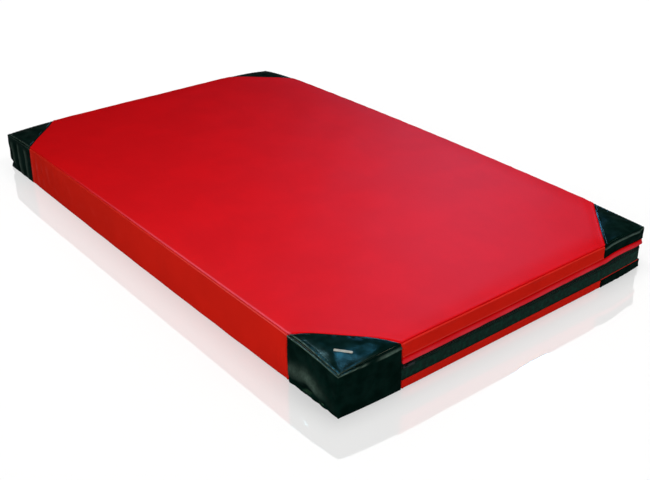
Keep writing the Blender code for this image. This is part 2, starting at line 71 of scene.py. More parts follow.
# Shape of the filled cover: as the frame was drawn, with a rise beside the right-hand corner
EDGE_RADIUS = 0.010
EDGE_FALL = 0.005
EDGE_FALL_REACH = 0.080
NEAR_CORNER_DIP = 0.016
LEFT_CORNER_DIP = 0.009
BACK_CORNER_DIP = 0.013
RIGHT_CORNER_DIP = 0.003
END_DRAW = 0.009
BACK_BULGE = 0.024
RIGHT_RISE = 0.0085
RIGHT_RISE_PLACE = 0.125
RIGHT_RISE_REACH = 0.075
RIGHT_RISE_END = 0.205
RIGHT_RISE_FADE = 0.050
PULL_REACH = 0.055
LATTICE = 0.050

# Layers of the cover and their depths below the plain box
PATCH_THICKNESS = 0.0012
CLOTH_THICKNESS = 0.0008
TURNED_THICKNESS = 0.0006
TAPE_THICKNESS = 0.0006
COVER_DEPTH = 0.0015
FACING_DEPTH = 0.0026
TAPE_DEPTH = 0.0037
COIL_DEPTH = 0.0019
CORE_SIDE_DEPTH = 0.0037
CORE_ZIP_DEPTH = 0.0059
CORNER_SLACK = 0.0045
SEAM_ALLOWANCE = 0.012
ALLOWANCE_LEVEL = -0.0068
ALLOWANCE_FALL = 0.003
WALL_SWELL = 0.0035
GATHER_PITCH = 0.047
GATHER_HEIGHTS = (0.0024, 0.0007)
TOP_PATCH_SWELL = 0.0042
TOP_PATCH_SINK = 0.0030

# Places along the cover's sides, and heights and widths of the bands at the zip
PATCH_LEG = 0.200
BESIDE_PATCH = PATCH_LEG + 0.020
BACK_RUN = 0.300
LOWER_PATCH_HEIGHT = 0.0292
LOWER_BAND_HEIGHT = 0.028
LOWER_BAND_TOP = 0.0302
CORNER_POINT = 0.0036
POINT_REACH = 0.0042
FOOT_POINT = 0.0028
FOOT_REACH = 0.0045
FACING_BOTTOM = 0.020
FACING_TOP = 0.0638
CHAIN_HEIGHT = 0.0715
CHAIN_SLIT = 0.0014
COIL_WIDTH = 0.0028
COIL_THICKNESS = 0.0015
TAPE_WIDTH = 0.022
CHAIN_TUCK = 0.010
HEM_BOTTOM = 0.0855
FLAP_BOTTOM = 0.0852
FLAP_TOP = 0.1015
FLAP_LIP = 0.0045
FLAP_FOLD = 0.0034
FLAP_CURVE = 1.4
FLAP_SEWN_OUT = 0.0009
FLAP_CLIMB = 0.0038
CLIMB_START = -0.62
CLIMB_RUN = 0.36
CLIMB_BOTTOM = 0.079
SEWN_GAP = 0.0003
NEAR_PATCH_EDGE = PATCH_LEG - WIDTH
ZIP_START = NEAR_PATCH_EDGE + SEWN_GAP
HEM_DISTANCE = 0.0125
PATCH_HEM_DISTANCE = 0.0130

# Middle of the blank plate on the flat top, how it is turned, in degrees, and its size
PLATE_PLACE = (0.943, -0.542)
PLATE_TURN = 41.0
PLATE_LENGTH = 0.048
PLATE_WIDTH = 0.0078
PLATE_REST_REACH = 0.026

# Flat sizes of the panels, less their four corners, and of the triangular patches
PANEL_CUT = {"flat": (WIDTH, LENGTH), "area": WIDTH * LENGTH - 0.07}
TRIANGLE_CUT = {"flat": (PATCH_LEG, PATCH_LEG), "area": PATCH_LEG**2 / 2}

# Colours painted on cloth and leatherette as highlights and sheen: on seam ridges, the flap's lip, fold
# crests and above the near corner's sag
PAINTED_HIGHLIGHT_TOP = (0.82, 0.095, 0.140)
PAINTED_HIGHLIGHT_SIDE = (0.78, 0.100, 0.095)
PAINTED_HIGHLIGHT_LEATHERETTE = (0.100, 0.155, 0.125)

# Floor: its brightness where the camera sees it, how much less light it gives back there, and its gloss
FLOOR_WHITE = 1.025
FLOOR_SEEN_LESS = 0.20
FLOOR_GLOSS = 0.20

# Camera: focal length in millimetres, place from the plain box's middle, and turn in degrees
CAMERA_LENS = 54.61
CAMERA_PLACE = (2.4894, -1.8071, 1.5190)
CAMERA_TURN = (62.0516, 0.5592, 51.6637)

# Cloth simulation that fills the corner patches: pressure, frames that it runs, and how slack the cloth is
# and how far it may move, on the top and on the sides
FILL_PRESSURE = 4.0
FILL_FRAMES = 20
TOP_FILL = (0.0008, 0.0012)
SIDE_FILL = (0.0030, 0.0020)

# Distances from a seam at which cloth is cut across, so that its groove and ridge are round
BESIDE_SEAM = (0.0, 0.0007, 0.0015, 0.0024, 0.0036, 0.0052, 0.0074, 0.0100)

CORNERS = {
    "near": (1, -1),
    "left": (-1, -1),
    "back": (-1, 1),
    "right": (1, 1),
}

# Folds of each corner's side patch: start and end as (distance from the corner's edge, height), how wide
# they are and how far they stand out. Distances are below zero on the end, above zero on the long side.
SIDE_FOLDS = {
    "near": (
        ((0.205, 0.019), (0.040, 0.010), 0.0055, -0.0062),
        ((0.205, 0.006), (0.050, 0.004), 0.0045, 0.0020),
        ((0.048, 0.020), (0.044, 0.000), 0.0030, -0.0035),
        ((0.110, 0.125), (0.085, 0.080), 0.0110, -0.0022),
        ((0.062, 0.064), (0.034, 0.050), 0.0035, 0.0020),
        ((0.058, 0.074), (0.030, 0.064), 0.0035, -0.0016),
        ((0.050, 0.088), (0.030, 0.076), 0.0035, 0.0014),
        ((0.040, 0.115), (0.018, 0.070), 0.0060, -0.0016),
        ((-0.050, 0.070), (-0.160, 0.100), 0.0300, 0.0010),
    ),
    "left": (
        ((0.045, 0.030), (0.040, 0.115), 0.0100, 0.0030),
        ((0.074, 0.010), (0.066, 0.125), 0.0080, -0.0035),
        ((0.104, 0.020), (0.098, 0.120), 0.0110, 0.0032),
        ((0.136, 0.010), (0.130, 0.125), 0.0080, -0.0032),
        ((0.166, 0.020), (0.160, 0.118), 0.0110, 0.0026),
        ((-0.030, 0.026), (0.040, 0.026), 0.0100, -0.0060),
        ((-0.100, 0.020), (-0.090, 0.110), 0.0140, 0.0025),
    ),
    "back": (
        ((0.060, 0.020), (0.055, 0.115), 0.0130, 0.0025),
        ((0.120, 0.015), (0.110, 0.120), 0.0100, -0.0025),
        ((-0.070, 0.020), (-0.060, 0.115), 0.0130, 0.0025),
        ((-0.130, 0.015), (-0.120, 0.110), 0.0100, -0.0022),
    ),
    "right": (
        ((-0.150, 0.125), (-0.030, 0.112), 0.0070, 0.0016),
        ((0.150, 0.125), (0.030, 0.112), 0.0070, 0.0016),
    ),
}

# Cloth that sags over the fold at the foot of the near corner's long side: distance from the corner's
# edge, height of the crest, how far it stands out and how much painted sheen it takes above the crest
NEAR_SAG = (
    (0.000, 0.010, 0.0000, 0.00),
    (0.030, 0.014, 0.0010, 0.05),
    (0.050, 0.028, 0.0045, 0.10),
    (0.085, 0.040, 0.0085, 0.55),
    (0.115, 0.048, 0.0100, 0.70),
    (0.145, 0.040, 0.0095, 0.40),
    (0.175, 0.024, 0.0075, 0.60),
    (0.200, 0.016, 0.0035, 0.25),
)

# How far a corner's rim seam lies below the edge on the zip's end, and the distance from the tip over
# which it gets there
RIM_DROPS = {
    "near": (0.011, 0.150),
    "right": (0.012, 0.030),
}

# How the cover has pulled the ends of the patches' edges along the rim: the place of the end, and the
# move along its side at the top, halfway up and at the floor
PATCH_EDGE_SHIFTS = (
    (HALF_LENGTH - PATCH_LEG, -HALF_WIDTH, -0.008, -0.005, -0.005),
    (PATCH_LEG - HALF_LENGTH, -HALF_WIDTH, 0.007, 0.000, -0.008),
    (-HALF_LENGTH, PATCH_LEG - HALF_WIDTH, -0.012, 0.000, 0.000),
)


class MatSewing(bpy.types.PropertyGroup):
    """Sizes of the sewing that show on the finished cover."""

    seam_depth: bpy.props.FloatProperty(
        name="Seam depth", description="How far cloth sinks into a seam", default=0.0024, unit="LENGTH")
    seam_width: bpy.props.FloatProperty(
        name="Seam width", description="Half the width of a seam's groove", default=0.0019, unit="LENGTH")
    ridge_height: bpy.props.FloatProperty(
        name="Ridge height", description="Height of the ridge beside a seam", default=0.0011, unit="LENGTH")
    ridge_place: bpy.props.FloatProperty(
        name="Ridge place", description="Distance of the ridge from its seam",
        default=0.0052, unit="LENGTH")
    pucker: bpy.props.FloatProperty(
        name="Pucker", description="Height of the gathers beside the seams", default=0.0006, unit="LENGTH")
    pucker_pitch: bpy.props.FloatProperty(
        name="Pucker pitch", description="Distance between gathers", default=0.012, unit="LENGTH")
    bow: bpy.props.FloatProperty(
        name="Patch bow", description="How far the near patch bows into the red cloth", default=0.0115,
        unit="LENGTH")
    stitch: bpy.props.FloatProperty(
        name="Stitch", description="Length of one stitch", default=0.0034, unit="LENGTH")
    stitch_gap: bpy.props.FloatProperty(
        name="Stitch gap", description="Space between two stitches", default=0.0014, unit="LENGTH")
    thread: bpy.props.FloatProperty(
        name="Thread", description="Thickness of the sewing thread", default=0.0007, unit="LENGTH")
    tooth_pitch: bpy.props.FloatProperty(
        name="Tooth pitch", description="Distance between the zip's teeth", default=0.0020, unit="LENGTH")


class MatColours(bpy.types.PropertyGroup):
    """Colours of the mat's materials."""

    red_cloth: bpy.props.FloatVectorProperty(
        name="Red cloth", description="Cover cloth", subtype="COLOR", default=(0.68, 0.0008, 0.0022))
    # The same cloth as the red cloth in a warmer tone: painted warm light on the sides and the zip's bands.
    side_cloth: bpy.props.FloatVectorProperty(
        name="Side cloth", description="Cover cloth of the sides and the bands at the zip", subtype="COLOR",
        default=(0.66, 0.0135, 0.0068))
    leatherette: bpy.props.FloatVectorProperty(
        name="Leatherette", description="Corner patches", subtype="COLOR",
        default=(0.0005, 0.0075, 0.0055))
    underside: bpy.props.FloatVectorProperty(
        name="Underside", description="Non-slip cloth below", subtype="COLOR",
        default=(0.018, 0.021, 0.021))
    webbing: bpy.props.FloatVectorProperty(
        name="Webbing", description="Facing and tapes of the zip", subtype="COLOR",
        default=(0.0015, 0.016, 0.011))
    foam: bpy.props.FloatVectorProperty(
        name="Foam", description="Core of the mat", subtype="COLOR", default=(0.62, 0.60, 0.50))
    plastic: bpy.props.FloatVectorProperty(
        name="Plastic", description="Teeth of the zip", subtype="COLOR", default=(0.008, 0.010, 0.010))
    metal: bpy.props.FloatVectorProperty(
        name="Black metal", description="Slider and pull tab", subtype="COLOR",
        default=(0.008, 0.010, 0.012))
    steel: bpy.props.FloatVectorProperty(
        name="Stops", description="Blackened stops of the zip", subtype="COLOR",
        default=(0.014, 0.016, 0.018))
    plate: bpy.props.FloatVectorProperty(
        name="Plate", description="Blank plate on the near corner", subtype="COLOR",
        default=(0.36, 0.33, 0.27))


class MatStudio(bpy.types.PropertyGroup):
    """Light on the mat."""

    sky: bpy.props.FloatProperty(
        name="Sky", description="Even light from all sides", default=0.35)
    key: bpy.props.FloatProperty(
        name="Key lamp", description="Lamp over the zip end's half", default=19.5, unit="POWER")
    fill: bpy.props.FloatProperty(
        name="Fill lamp", description="Lamp in front of the long side", default=44.0, unit="POWER")
    side: bpy.props.FloatProperty(
        name="Side lamp", description="Lamp in front of the zip end", default=18.0, unit="POWER")
    skylight: bpy.props.FloatProperty(
        name="Skylight", description="Bluish light overhead that shows only in the gloss", default=360.0,
        unit="POWER")
    window: bpy.props.FloatProperty(
        name="Window", description="Far bluish window that shows only in the gloss", default=2600.0,
        unit="POWER")
    strip: bpy.props.FloatProperty(
        name="Strip light", description="Small light overhead that shows only in the gloss", default=330.0,
        unit="POWER")
    panel: bpy.props.FloatProperty(
        name="Light panel", description="Panel beside the long side that shows only in the gloss",
        default=200.0, unit="POWER")
    floor: bpy.props.FloatProperty(
        name="Floor", description="Share of light that the floor gives back", default=0.60)


def clamp01(values):
    return np.clip(values, 0.0, 1.0)


def fall(distance, reach):
    """One at an edge, easing to nothing at the given reach from it."""
    return np.maximum(0.0, 1.0 - distance / reach) ** 2


def eased(values):
    """A smooth step from nothing at 0 to one at 1."""
    share = clamp01(values)
    return share * share * (3.0 - 2.0 * share)


def hump(distance, reach):
    """A rounded hump, one at its middle."""
    return np.exp(-((distance / reach) ** 2))


def ripple(along, pitch, seed):
    """Uneven waves between about -1 and 1, the same on each run."""
    chance = np.random.default_rng(seed)
    total = np.zeros_like(along)
    for _ in range(5):
        wave = pitch * chance.uniform(0.7, 1.6)
        total += np.sin(math.tau * along / wave + chance.uniform(0.0, math.tau))
    return total / 3.0


def uneven(across, up, size, seed):
    """Uneven hills between about -1 and 1 over a surface, the same on each run."""
    chance = np.random.default_rng(seed)
    total = np.zeros_like(across)
    for _ in range(9):
        turn = chance.uniform(0.0, math.tau)
        wave = size * chance.uniform(0.6, 1.6)
        walked = across * math.cos(turn) + up * math.sin(turn)
        total += np.sin(math.tau * walked / wave + chance.uniform(0.0, math.tau))
    return total / 4.0


def shifted(points):
    """Moves the ends of the patches' edges to where the cover has pulled them."""
    moved = points.copy()
    share = clamp01(points[:, 2] / THICKNESS)
    for x, y, top, middle, low in PATCH_EDGE_SHIFTS:
        near = np.exp(-((points[:, 0] - x) ** 2 + (points[:, 1] - y) ** 2) / PULL_REACH**2)
        pulled = near * (top * share + low * (1.0 - share) + middle * np.sin(math.pi * share))
        moved[:, 0 if abs(y) == HALF_WIDTH else 1] += pulled
    return moved


def edge_distances(x, y):
    """How far places lie in from the short ends and from the long sides."""
    return HALF_LENGTH - np.abs(x), HALF_WIDTH - np.abs(y)


def drawn(points, out):
    """Wraps points of the plain box, lifted out of its faces, onto the filled mat."""
    points = shifted(points)
    low = np.array([EDGE_RADIUS - HALF_LENGTH, EDGE_RADIUS - HALF_WIDTH, EDGE_RADIUS])
    high = np.array([HALF_LENGTH - EDGE_RADIUS, HALF_WIDTH - EDGE_RADIUS, THICKNESS - EDGE_RADIUS])
    kept = np.clip(points, low, high)
    outward = points - kept
    reach = np.abs(outward).max(axis=1)
    length = np.maximum(np.linalg.norm(outward, axis=1), 1e-9)
    flat = kept + outward * (np.maximum(reach + out, 0.0) / length)[:, None]
    end_distance, side_distance = [np.maximum(away, 0.0) for away in edge_distances(flat[:, 0], flat[:, 1])]
    zip_half = flat[:, 0] > 0.0
    back_half = flat[:, 1] > 0.0
    end_draw = END_DRAW * fall(side_distance, PATCH_LEG) * zip_half
    bulge = BACK_BULGE * np.maximum(1.0 - (flat[:, 0] / HALF_LENGTH) ** 2, 0.0) * back_half
    deepest = np.where(
        zip_half,
        np.where(back_half, RIGHT_CORNER_DIP, NEAR_CORNER_DIP),
        np.where(back_half, BACK_CORNER_DIP, LEFT_CORNER_DIP),
    )
    near_end = fall(end_distance, EDGE_FALL_REACH)
    near_side = fall(side_distance, EDGE_FALL_REACH)
    edge_fall = EDGE_FALL * (1.0 - (1.0 - near_end) * (1.0 - near_side))
    dip = deepest * fall(end_distance, PATCH_LEG) * fall(side_distance, PATCH_LEG)
    beside_right = hump(side_distance - RIGHT_RISE_PLACE, RIGHT_RISE_REACH) * back_half * zip_half
    beside_right *= eased((RIGHT_RISE_END - side_distance) / RIGHT_RISE_FADE)
    rise = RIGHT_RISE * beside_right * fall(end_distance, EDGE_FALL_REACH)
    reach = LOWER_BAND_HEIGHT - COVER_DEPTH
    sunk = clamp01((LOWER_BAND_HEIGHT - flat[:, 2]) / reach)
    swollen = clamp01((LOWER_BAND_HEIGHT - THICKNESS + flat[:, 2]) / reach)
    bare = clamp01((end_distance + side_distance - PATCH_LEG) / LATTICE)
    settle = COVER_DEPTH * bare * (sunk - swollen)
    return np.column_stack((
        flat[:, 0] * (1.0 - end_draw / HALF_LENGTH) - SHIFT_X,
        flat[:, 1] * (1.0 + bulge / HALF_WIDTH) - SHIFT_Y,
        (flat[:, 2] - settle) * (1.0 + (rise - edge_fall - dip) / THICKNESS),
    ))


def bowed(x, y, bow):
    """Bows the long edge of each top patch towards the red cloth."""
    end, side = edge_distances(x, y)
    along = (end - side) / PATCH_LEG
    beyond = (end + side - PATCH_LEG) / math.sqrt(2.0)
    share = np.where((x > 0.0) & (y < 0.0), 1.0, 0.35)
    moved = bow * share * np.maximum(1.0 - along**4, 0.0) * hump(beyond, 0.055) / math.sqrt(2.0)
    return x - np.sign(x) * moved, y - np.sign(y) * moved


def on_top(x, y):
    bow_x, bow_y = bowed(x, y, bpy.context.scene.mat_sewing.bow)
    return np.column_stack((bow_x, bow_y, np.full_like(x, THICKNESS)))


def on_underside(x, y):
    return np.column_stack((x, y, np.zeros_like(x)))


def on_front(x, z):
    return np.column_stack((x, np.full_like(x, -HALF_WIDTH), z))


def on_back(x, z):
    return np.column_stack((x, np.full_like(x, HALF_WIDTH), z))


def on_left_end(y, z):
    return np.column_stack((np.full_like(y, -HALF_LENGTH), y, z))


def round_corner(corner):
    """A run round one corner: below zero along the end, above zero along the long side.

    The run with the zip climbs a little above the teeth as it nears the corner.
    """
    sign_x, sign_y = CORNERS[corner]

    def place(along, z):
        if corner == "right":
            climbing = eased((along - CLIMB_START) / CLIMB_RUN) * clamp01((z - CLIMB_BOTTOM) / 0.005)
            z = z + FLAP_CLIMB * climbing * clamp01((THICKNESS - z) / 0.030)
        x = HALF_LENGTH - np.maximum(along, 0.0)
        y = HALF_WIDTH + np.minimum(along, 0.0)
        return np.column_stack((sign_x * x, sign_y * y, z))

    return place


def on_mat(place, flat):
    along, up, out = flat.T
    return drawn(place(along, up), out)


def pick(piece):
    """Selects one piece alone."""
    bpy.ops.object.select_all(action="DESELECT")
    piece.select_set(True)
    bpy.context.view_layer.objects.active = piece


@contextmanager
def editing(piece, kind="FACE", chosen=None):
    """Edit mode on one piece, with the chosen elements selected, or all of them."""
    pick(piece)
    mesh = piece.data
    layers = {"VERT": mesh.vertices, "EDGE": mesh.edges, "FACE": mesh.polygons}
    if chosen is not None:
        for elements in layers.values():
            elements.foreach_set("select", np.zeros(len(elements), bool))
        layers[kind].foreach_set("select", np.asarray(chosen, bool))
    bpy.context.scene.tool_settings.mesh_select_mode = tuple(name == kind for name in layers)
    bpy.ops.object.mode_set(mode="EDIT")
    if chosen is None:
        bpy.ops.mesh.select_all(action="SELECT")
    yield mesh
    bpy.ops.object.mode_set(mode="OBJECT")


def read_points(piece):
    points = np.empty(len(piece.data.vertices) * 3, np.float32)
    piece.data.vertices.foreach_get("co", points)
    return points.reshape(-1, 3).astype(float)


def write_points(piece, points):
    piece.data.vertices.foreach_set("co", points.astype(np.float32).ravel())
    piece.data.update()


def stations(spans, seams=()):
    """Places along a piece: evenly spaced in each span, and closer beside its seams."""
    start, end = spans[0][0], spans[-1][1]
    places = []
    for low, high, step in spans:
        places += list(np.linspace(low, high, max(1, round((high - low) / step)) + 1))
    reach = BESIDE_SEAM[-1] * 1.2
    places = [place for place in places if all(abs(place - seam) > reach for seam in seams)]
    for seam in seams:
        for distance in BESIDE_SEAM:
            places += [seam - distance, seam + distance]
    return np.array(sorted({round(place, 6) for place in places if start - 1e-6 <= place <= end + 1e-6}))


def adopt(name):
    """Names the primitive that was just added."""
    piece = bpy.context.active_object
    piece.name = name
    piece.data.name = name
    return piece


def flat_cloth(name, columns, rows):
    """A flat piece of cloth with a crossing at each column and row.

    Rows are heights, or pairs of a height and how far out it lies.
    """
    bpy.ops.object.select_all(action="DESELECT")
    rows = np.asarray(rows, float)
    if rows.ndim == 1:
        rows = np.column_stack((rows, np.zeros_like(rows)))
    bpy.ops.mesh.primitive_grid_add(x_subdivisions=len(columns) - 1, y_subdivisions=len(rows) - 1, size=2.0)
    piece = adopt(name)
    points = read_points(piece)
    column = np.rint((points[:, 0] + 1.0) / 2.0 * (len(columns) - 1)).astype(int)
    row = np.rint((points[:, 1] + 1.0) / 2.0 * (len(rows) - 1)).astype(int)
    walked = np.concatenate(([0.0], np.cumsum(np.linalg.norm(np.diff(rows, axis=0), axis=1))))
    points = np.column_stack((columns[column], rows[row, 0], rows[row, 1]))
    write_points(piece, points)
    corners = np.empty(len(piece.data.loops), np.int32)
    piece.data.loops.foreach_get("vertex_index", corners)
    cut = piece.data.uv_layers[0]
    cut.name = "cut"
    places = np.column_stack((columns[column], rows[0, 0] + walked[row]))
    cut.data.foreach_set("uv", places[corners].astype(np.float32).ravel())
    return piece


def trim(piece, point, outward):
    """Cuts a flat piece along a line and drops what lies beyond it."""
    with editing(piece):
        bpy.ops.mesh.bisect(plane_co=point, plane_no=outward, clear_outer=True)


def score(piece, point, across, distances):
    """Cuts across a flat piece along lines beside a seam, dropping nothing."""
    for distance in distances:
        with editing(piece):
            place = [start + step * distance for start, step in zip(point, across)]
            bpy.ops.mesh.bisect(plane_co=place, plane_no=across)


def apply_modifiers(piece):
    pick(piece)
    for modifier in list(piece.modifiers):
        bpy.ops.object.modifier_apply(modifier=modifier.name)


def lay_on_mat(piece, place):
    """Wraps a flat piece round the mat, and turns its faces outwards if the wrap is a mirrored one."""
    flat = read_points(piece)
    write_points(piece, on_mat(place, flat))
    middle = np.median(flat, axis=0)
    step = 0.001
    near = on_mat(place, middle + step * np.vstack((np.zeros(3), np.eye(3))))
    if np.linalg.det(near[1:] - near[0]) < 0.0:
        with editing(piece):
            bpy.ops.mesh.flip_normals()


def lay_cloth(piece, place, thickness, fill=None):
    """Wraps cloth round the mat, lets it swell where it is filled, and thickens it inwards, rims closed."""
    lay_on_mat(piece, place)
    if fill:
        fill_cloth(piece, *fill)
    wall = piece.modifiers.new("thickness", "SOLIDIFY")
    wall.thickness = thickness
    wall.offset = -1.0
    apply_modifiers(piece)


def hand_over(piece, nodes, material, slot, flat=None, area=None, angle=60, held="stretched",
              rests_on="foam_core_block"):
    """Finishes a piece: shading, material and the body it rides on, and hides the nodes that it stands for.
    """
    pick(piece)
    bpy.ops.object.shade_smooth_by_angle(angle=math.radians(angle))
    piece.data.materials.clear()
    piece.data.materials.append(material)
    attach(piece, "mat")
    if nodes:
        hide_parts(*nodes)


def seam_level(distance, along, sewing, ridge=1.0, seed=1, sunk=1.0):
    """Height of cloth at a distance from its seam: a groove, then a ridge with gathers."""
    gather = sewing.pucker * ripple(along, sewing.pucker_pitch, seed)
    groove = sewing.seam_depth * sunk * hump(distance, sewing.seam_width)
    stands = (sewing.ridge_height * ridge + gather * min(ridge, 1.0)) * hump(
        distance - sewing.ridge_place, 0.6 * sewing.ridge_place)
    return stands - groove


def allowance_level(beyond, level, sewing):
    """Keeps the level on the bare side of a seam and tucks the rest below the neighbouring piece."""
    tucked = -sewing.seam_depth + (ALLOWANCE_LEVEL + sewing.seam_depth) * eased(-beyond / ALLOWANCE_FALL)
    return np.where(beyond > 0.0, level, tucked)


def crease(along, up, start, end, reach):
    """One along a line on a flat piece, easing to nothing at the given reach from it."""
    run = (end[0] - start[0], end[1] - start[1])
    share = clamp01(((along - start[0]) * run[0] + (up - start[1]) * run[1]) / (run[0] ** 2 + run[1] ** 2))
    off_along = along - start[0] - share * run[0]
    off_up = up - start[1] - share * run[1]
    return np.exp(-(off_along**2 + off_up**2) / reach**2)


def raise_cloth(piece, height, highlighted=None):
    """Sets the heights of a flat piece, and how much painted highlight it takes, from functions of its
    places.
    """
    points = read_points(piece)
    points[:, 2] += height(points[:, 0], points[:, 1])
    if highlighted:
        mark_painted_highlight(piece, highlighted(points[:, 0], points[:, 1]))
    write_points(piece, points)


def mark_painted_highlight(piece, shares):
    """Stores the share of painted highlight at each point, for the materials."""
    level = piece.data.attributes.new("painted_highlight", "FLOAT", "POINT")
    level.data.foreach_set("value", clamp01(shares).astype(np.float32))


def ridge_highlight(distance, sewing, width=0.0020):
    """Painted highlight on the crown of the ridge beside a seam."""
    return hump(distance - 0.85 * sewing.ridge_place, width)


def highlight_towards_near(along):
    """Strength of the painted highlight on the long side's rim: none at the left, most beside the near
    corner, where more light falls.
    """
    return eased((along + 0.70) / 1.1)


def fill_cloth(piece, slack, cap):
    """Lets a sewn-in patch swell over the foam, held along its rims, and caps how far it moves."""
    start = read_points(piece)
    ends = np.empty(len(piece.data.edges) * 2, np.int32)
    piece.data.edges.foreach_get("vertices", ends)
    ends = ends.reshape(-1, 2)
    sides = np.empty(len(piece.data.loops), np.int32)
    piece.data.loops.foreach_get("edge_index", sides)
    open_edges = ends[np.bincount(sides, minlength=len(ends)) == 1]
    rim = np.zeros(len(start), bool)
    rim[open_edges.ravel()] = True
    held = rim.copy()
    for _ in range(2):
        touched = held[ends].any(axis=1)
        reached = ends[touched].ravel()
        held[reached] = True
    group = piece.vertex_groups.new(name="held")
    group.add([int(index) for index in np.flatnonzero(held)], 1.0, "REPLACE")
    cloth = piece.modifiers.new("filling", "CLOTH")
    settings = cloth.settings
    settings.quality = 6
    settings.mass = 0.4
    settings.tension_stiffness = 25.0
    settings.compression_stiffness = 25.0
    settings.shear_stiffness = 8.0
    settings.bending_stiffness = 12.0
    settings.use_pressure = True
    settings.uniform_pressure_force = FILL_PRESSURE
    settings.shrink_min = -slack
    settings.vertex_group_mass = "held"
    settings.effector_weights.gravity = 0.0
    cloth.collision_settings.use_collision = False
    cloth.point_cache.frame_start = 1
    cloth.point_cache.frame_end = FILL_FRAMES
    for step in range(1, FILL_FRAMES + 1):
        bpy.context.scene.frame_set(step)
    apply_modifiers(piece)
    piece.vertex_groups.clear()
    moved = read_points(piece) - start
    length = np.linalg.norm(moved, axis=1)
    kept = np.minimum(length, cap) / np.maximum(length, 1e-9)
    write_points(piece, start + moved * kept[:, None])
    bpy.context.scene.frame_set(1)


class Value:
    """A number that varies over a surface. Arithmetic on it adds Math nodes."""

    def __init__(self, finish, socket):
        self.finish = finish
        self.socket = socket

    def maths(self, operation, *inputs):
        node = self.finish.node("ShaderNodeMath", {"operation": operation}, dict(enumerate(inputs)))
        return Value(self.finish, node.outputs[0])

    def __add__(self, other):
        return self.maths("ADD", self, other)

    def __sub__(self, other):
        return self.maths("SUBTRACT", self, other)

    def __rsub__(self, other):
        return self.maths("SUBTRACT", other, self)

    def __mul__(self, other):
        return self.maths("MULTIPLY", self, other)

    def __truediv__(self, other):
        return self.maths("DIVIDE", self, other)

    def __pow__(self, other):
        return self.maths("POWER", self, other)

    __radd__ = __add__
    __rmul__ = __mul__

    def sine(self):
        return self.maths("SINE", self)

    def above(self, low, high):
        """Nothing below low, one above high, and smooth between them."""
        node = self.finish.node(
            "ShaderNodeMapRange", {"interpolation_type": "SMOOTHSTEP"}, {0: self, 1: low, 2: high})
        return Value(self.finish, node.outputs[0])


class Finish:
    """A node tree under construction, for a material or the world."""

    def __init__(self, owner):
        owner.use_nodes = True
        self.tree = owner.node_tree

    def node(self, kind, settings=None, sockets=None):
        """Adds a node, sets its settings and then the values or links of its sockets."""
        node = self.tree.nodes.new(kind)
        for name, value in (settings or {}).items():
            setattr(node, name, value)
        for name, value in (sockets or {}).items():
            if isinstance(value, Value):
                value = value.socket
            if isinstance(value, bpy.types.NodeSocket):
                self.tree.links.new(value, node.inputs[name])
            else:
                node.inputs[name].default_value = value
        return node

    def value(self, kind, settings=None, sockets=None, output=0):
        return Value(self, self.node(kind, settings, sockets).outputs[output])

    def noise(self, size, detail=3.0, stretch=(1.0, 1.0, 1.0)):
        """Soft noise from 0 to 1 with blotches of about the given size in metres."""
        where = self.node("ShaderNodeTexCoord").outputs["Object"]
        mapping = self.node("ShaderNodeMapping", {}, {"Vector": where, "Scale": stretch})
        return self.value(
            "ShaderNodeTexNoise", {}, {"Vector": mapping.outputs[0], "Scale": 1.0 / size, "Detail": detail})

    def blend(self, factor, first, second):
        """A colour between two."""
        node = self.node("ShaderNodeMix", {"data_type": "RGBA"}, {0: factor, 6: first, 7: second})
        return node.outputs[2]


class Surface(Finish):
    """A material with a Principled shader. Constants are set on the shader's own sockets."""

    def __init__(self, name, roughness, specular=0.5, **constants):
        material = bpy.data.materials.new(name)
        super().__init__(material)
        self.material = material
        self.shader = self.tree.nodes["Principled BSDF"]
        self.shader.inputs["Roughness"].default_value = roughness
        self.shader.inputs["Specular IOR Level"].default_value = specular
        for socket, value in constants.items():
            self.shader.inputs[socket.replace("_", " ")].default_value = value

    def feed(self, socket, source):
        if isinstance(source, Value):
            source = source.socket
        self.tree.links.new(source, self.shader.inputs[socket])

    def relief(self, height, depth, strength=1.0):
        """Bump from a height between 0 and 1, of the given depth in metres."""
        node = self.node("ShaderNodeBump", {}, {"Height": height, "Distance": depth, "Strength": strength})
        self.feed("Normal", node.outputs[0])

    def cut_place(self):
        """Where a point lies on the flat cloth, in metres along and up."""
        cut = self.node("ShaderNodeUVMap", {"uv_map": "cut"})
        split = self.node("ShaderNodeSeparateXYZ", {}, {0: cut.outputs[0]})
        return Value(self, split.outputs[0]), Value(self, split.outputs[1])

    def painted_highlight(self):
        """Share of painted highlight and sheen at a point: on proud seam ridges, the flap's lip, fold
        crests and above the near corner's sag.
        """
        return self.value("ShaderNodeAttribute", {"attribute_name": "painted_highlight"}, output=2)


def tint(colour, share):
    """A colour made lighter or darker, with its alpha."""
    return (*[min(1.0, channel * share) for channel in colour], 1.0)


def red_cloth_finish(name, colour, highlight_colour):
    """Coated cloth: fine weave under a satin coat, slightly faded in patches, paler where highlights are
    painted on.
    """
    surface = Surface(name, 0.50, 0.0, Coat_Weight=0.017, Coat_Roughness=0.48)
    along, up = surface.cut_place()
    thread = math.tau / 0.0011
    weave = (along * thread).sine() * (up * thread).sine()
    blotch = surface.noise(0.16)
    grain = surface.noise(0.0016, 2.0)
    faded = surface.blend(blotch.above(0.35, 0.70), tint(colour, 0.96), tint(colour, 1.03))
    # Painted highlight: the colour turns to the paler highlight colour by the point's share of painted
    # highlight.
    highlight_share = surface.painted_highlight() * (0.75 + grain.above(0.40, 0.70) * 0.25)
    surface.feed("Base Color", surface.blend(highlight_share, faded, (*highlight_colour, 1.0)))
    surface.feed("Roughness", 0.45 + blotch * 0.10 + grain * 0.05)
    surface.relief(weave * 0.30 + grain * 0.7, 0.00007)
    return surface.material


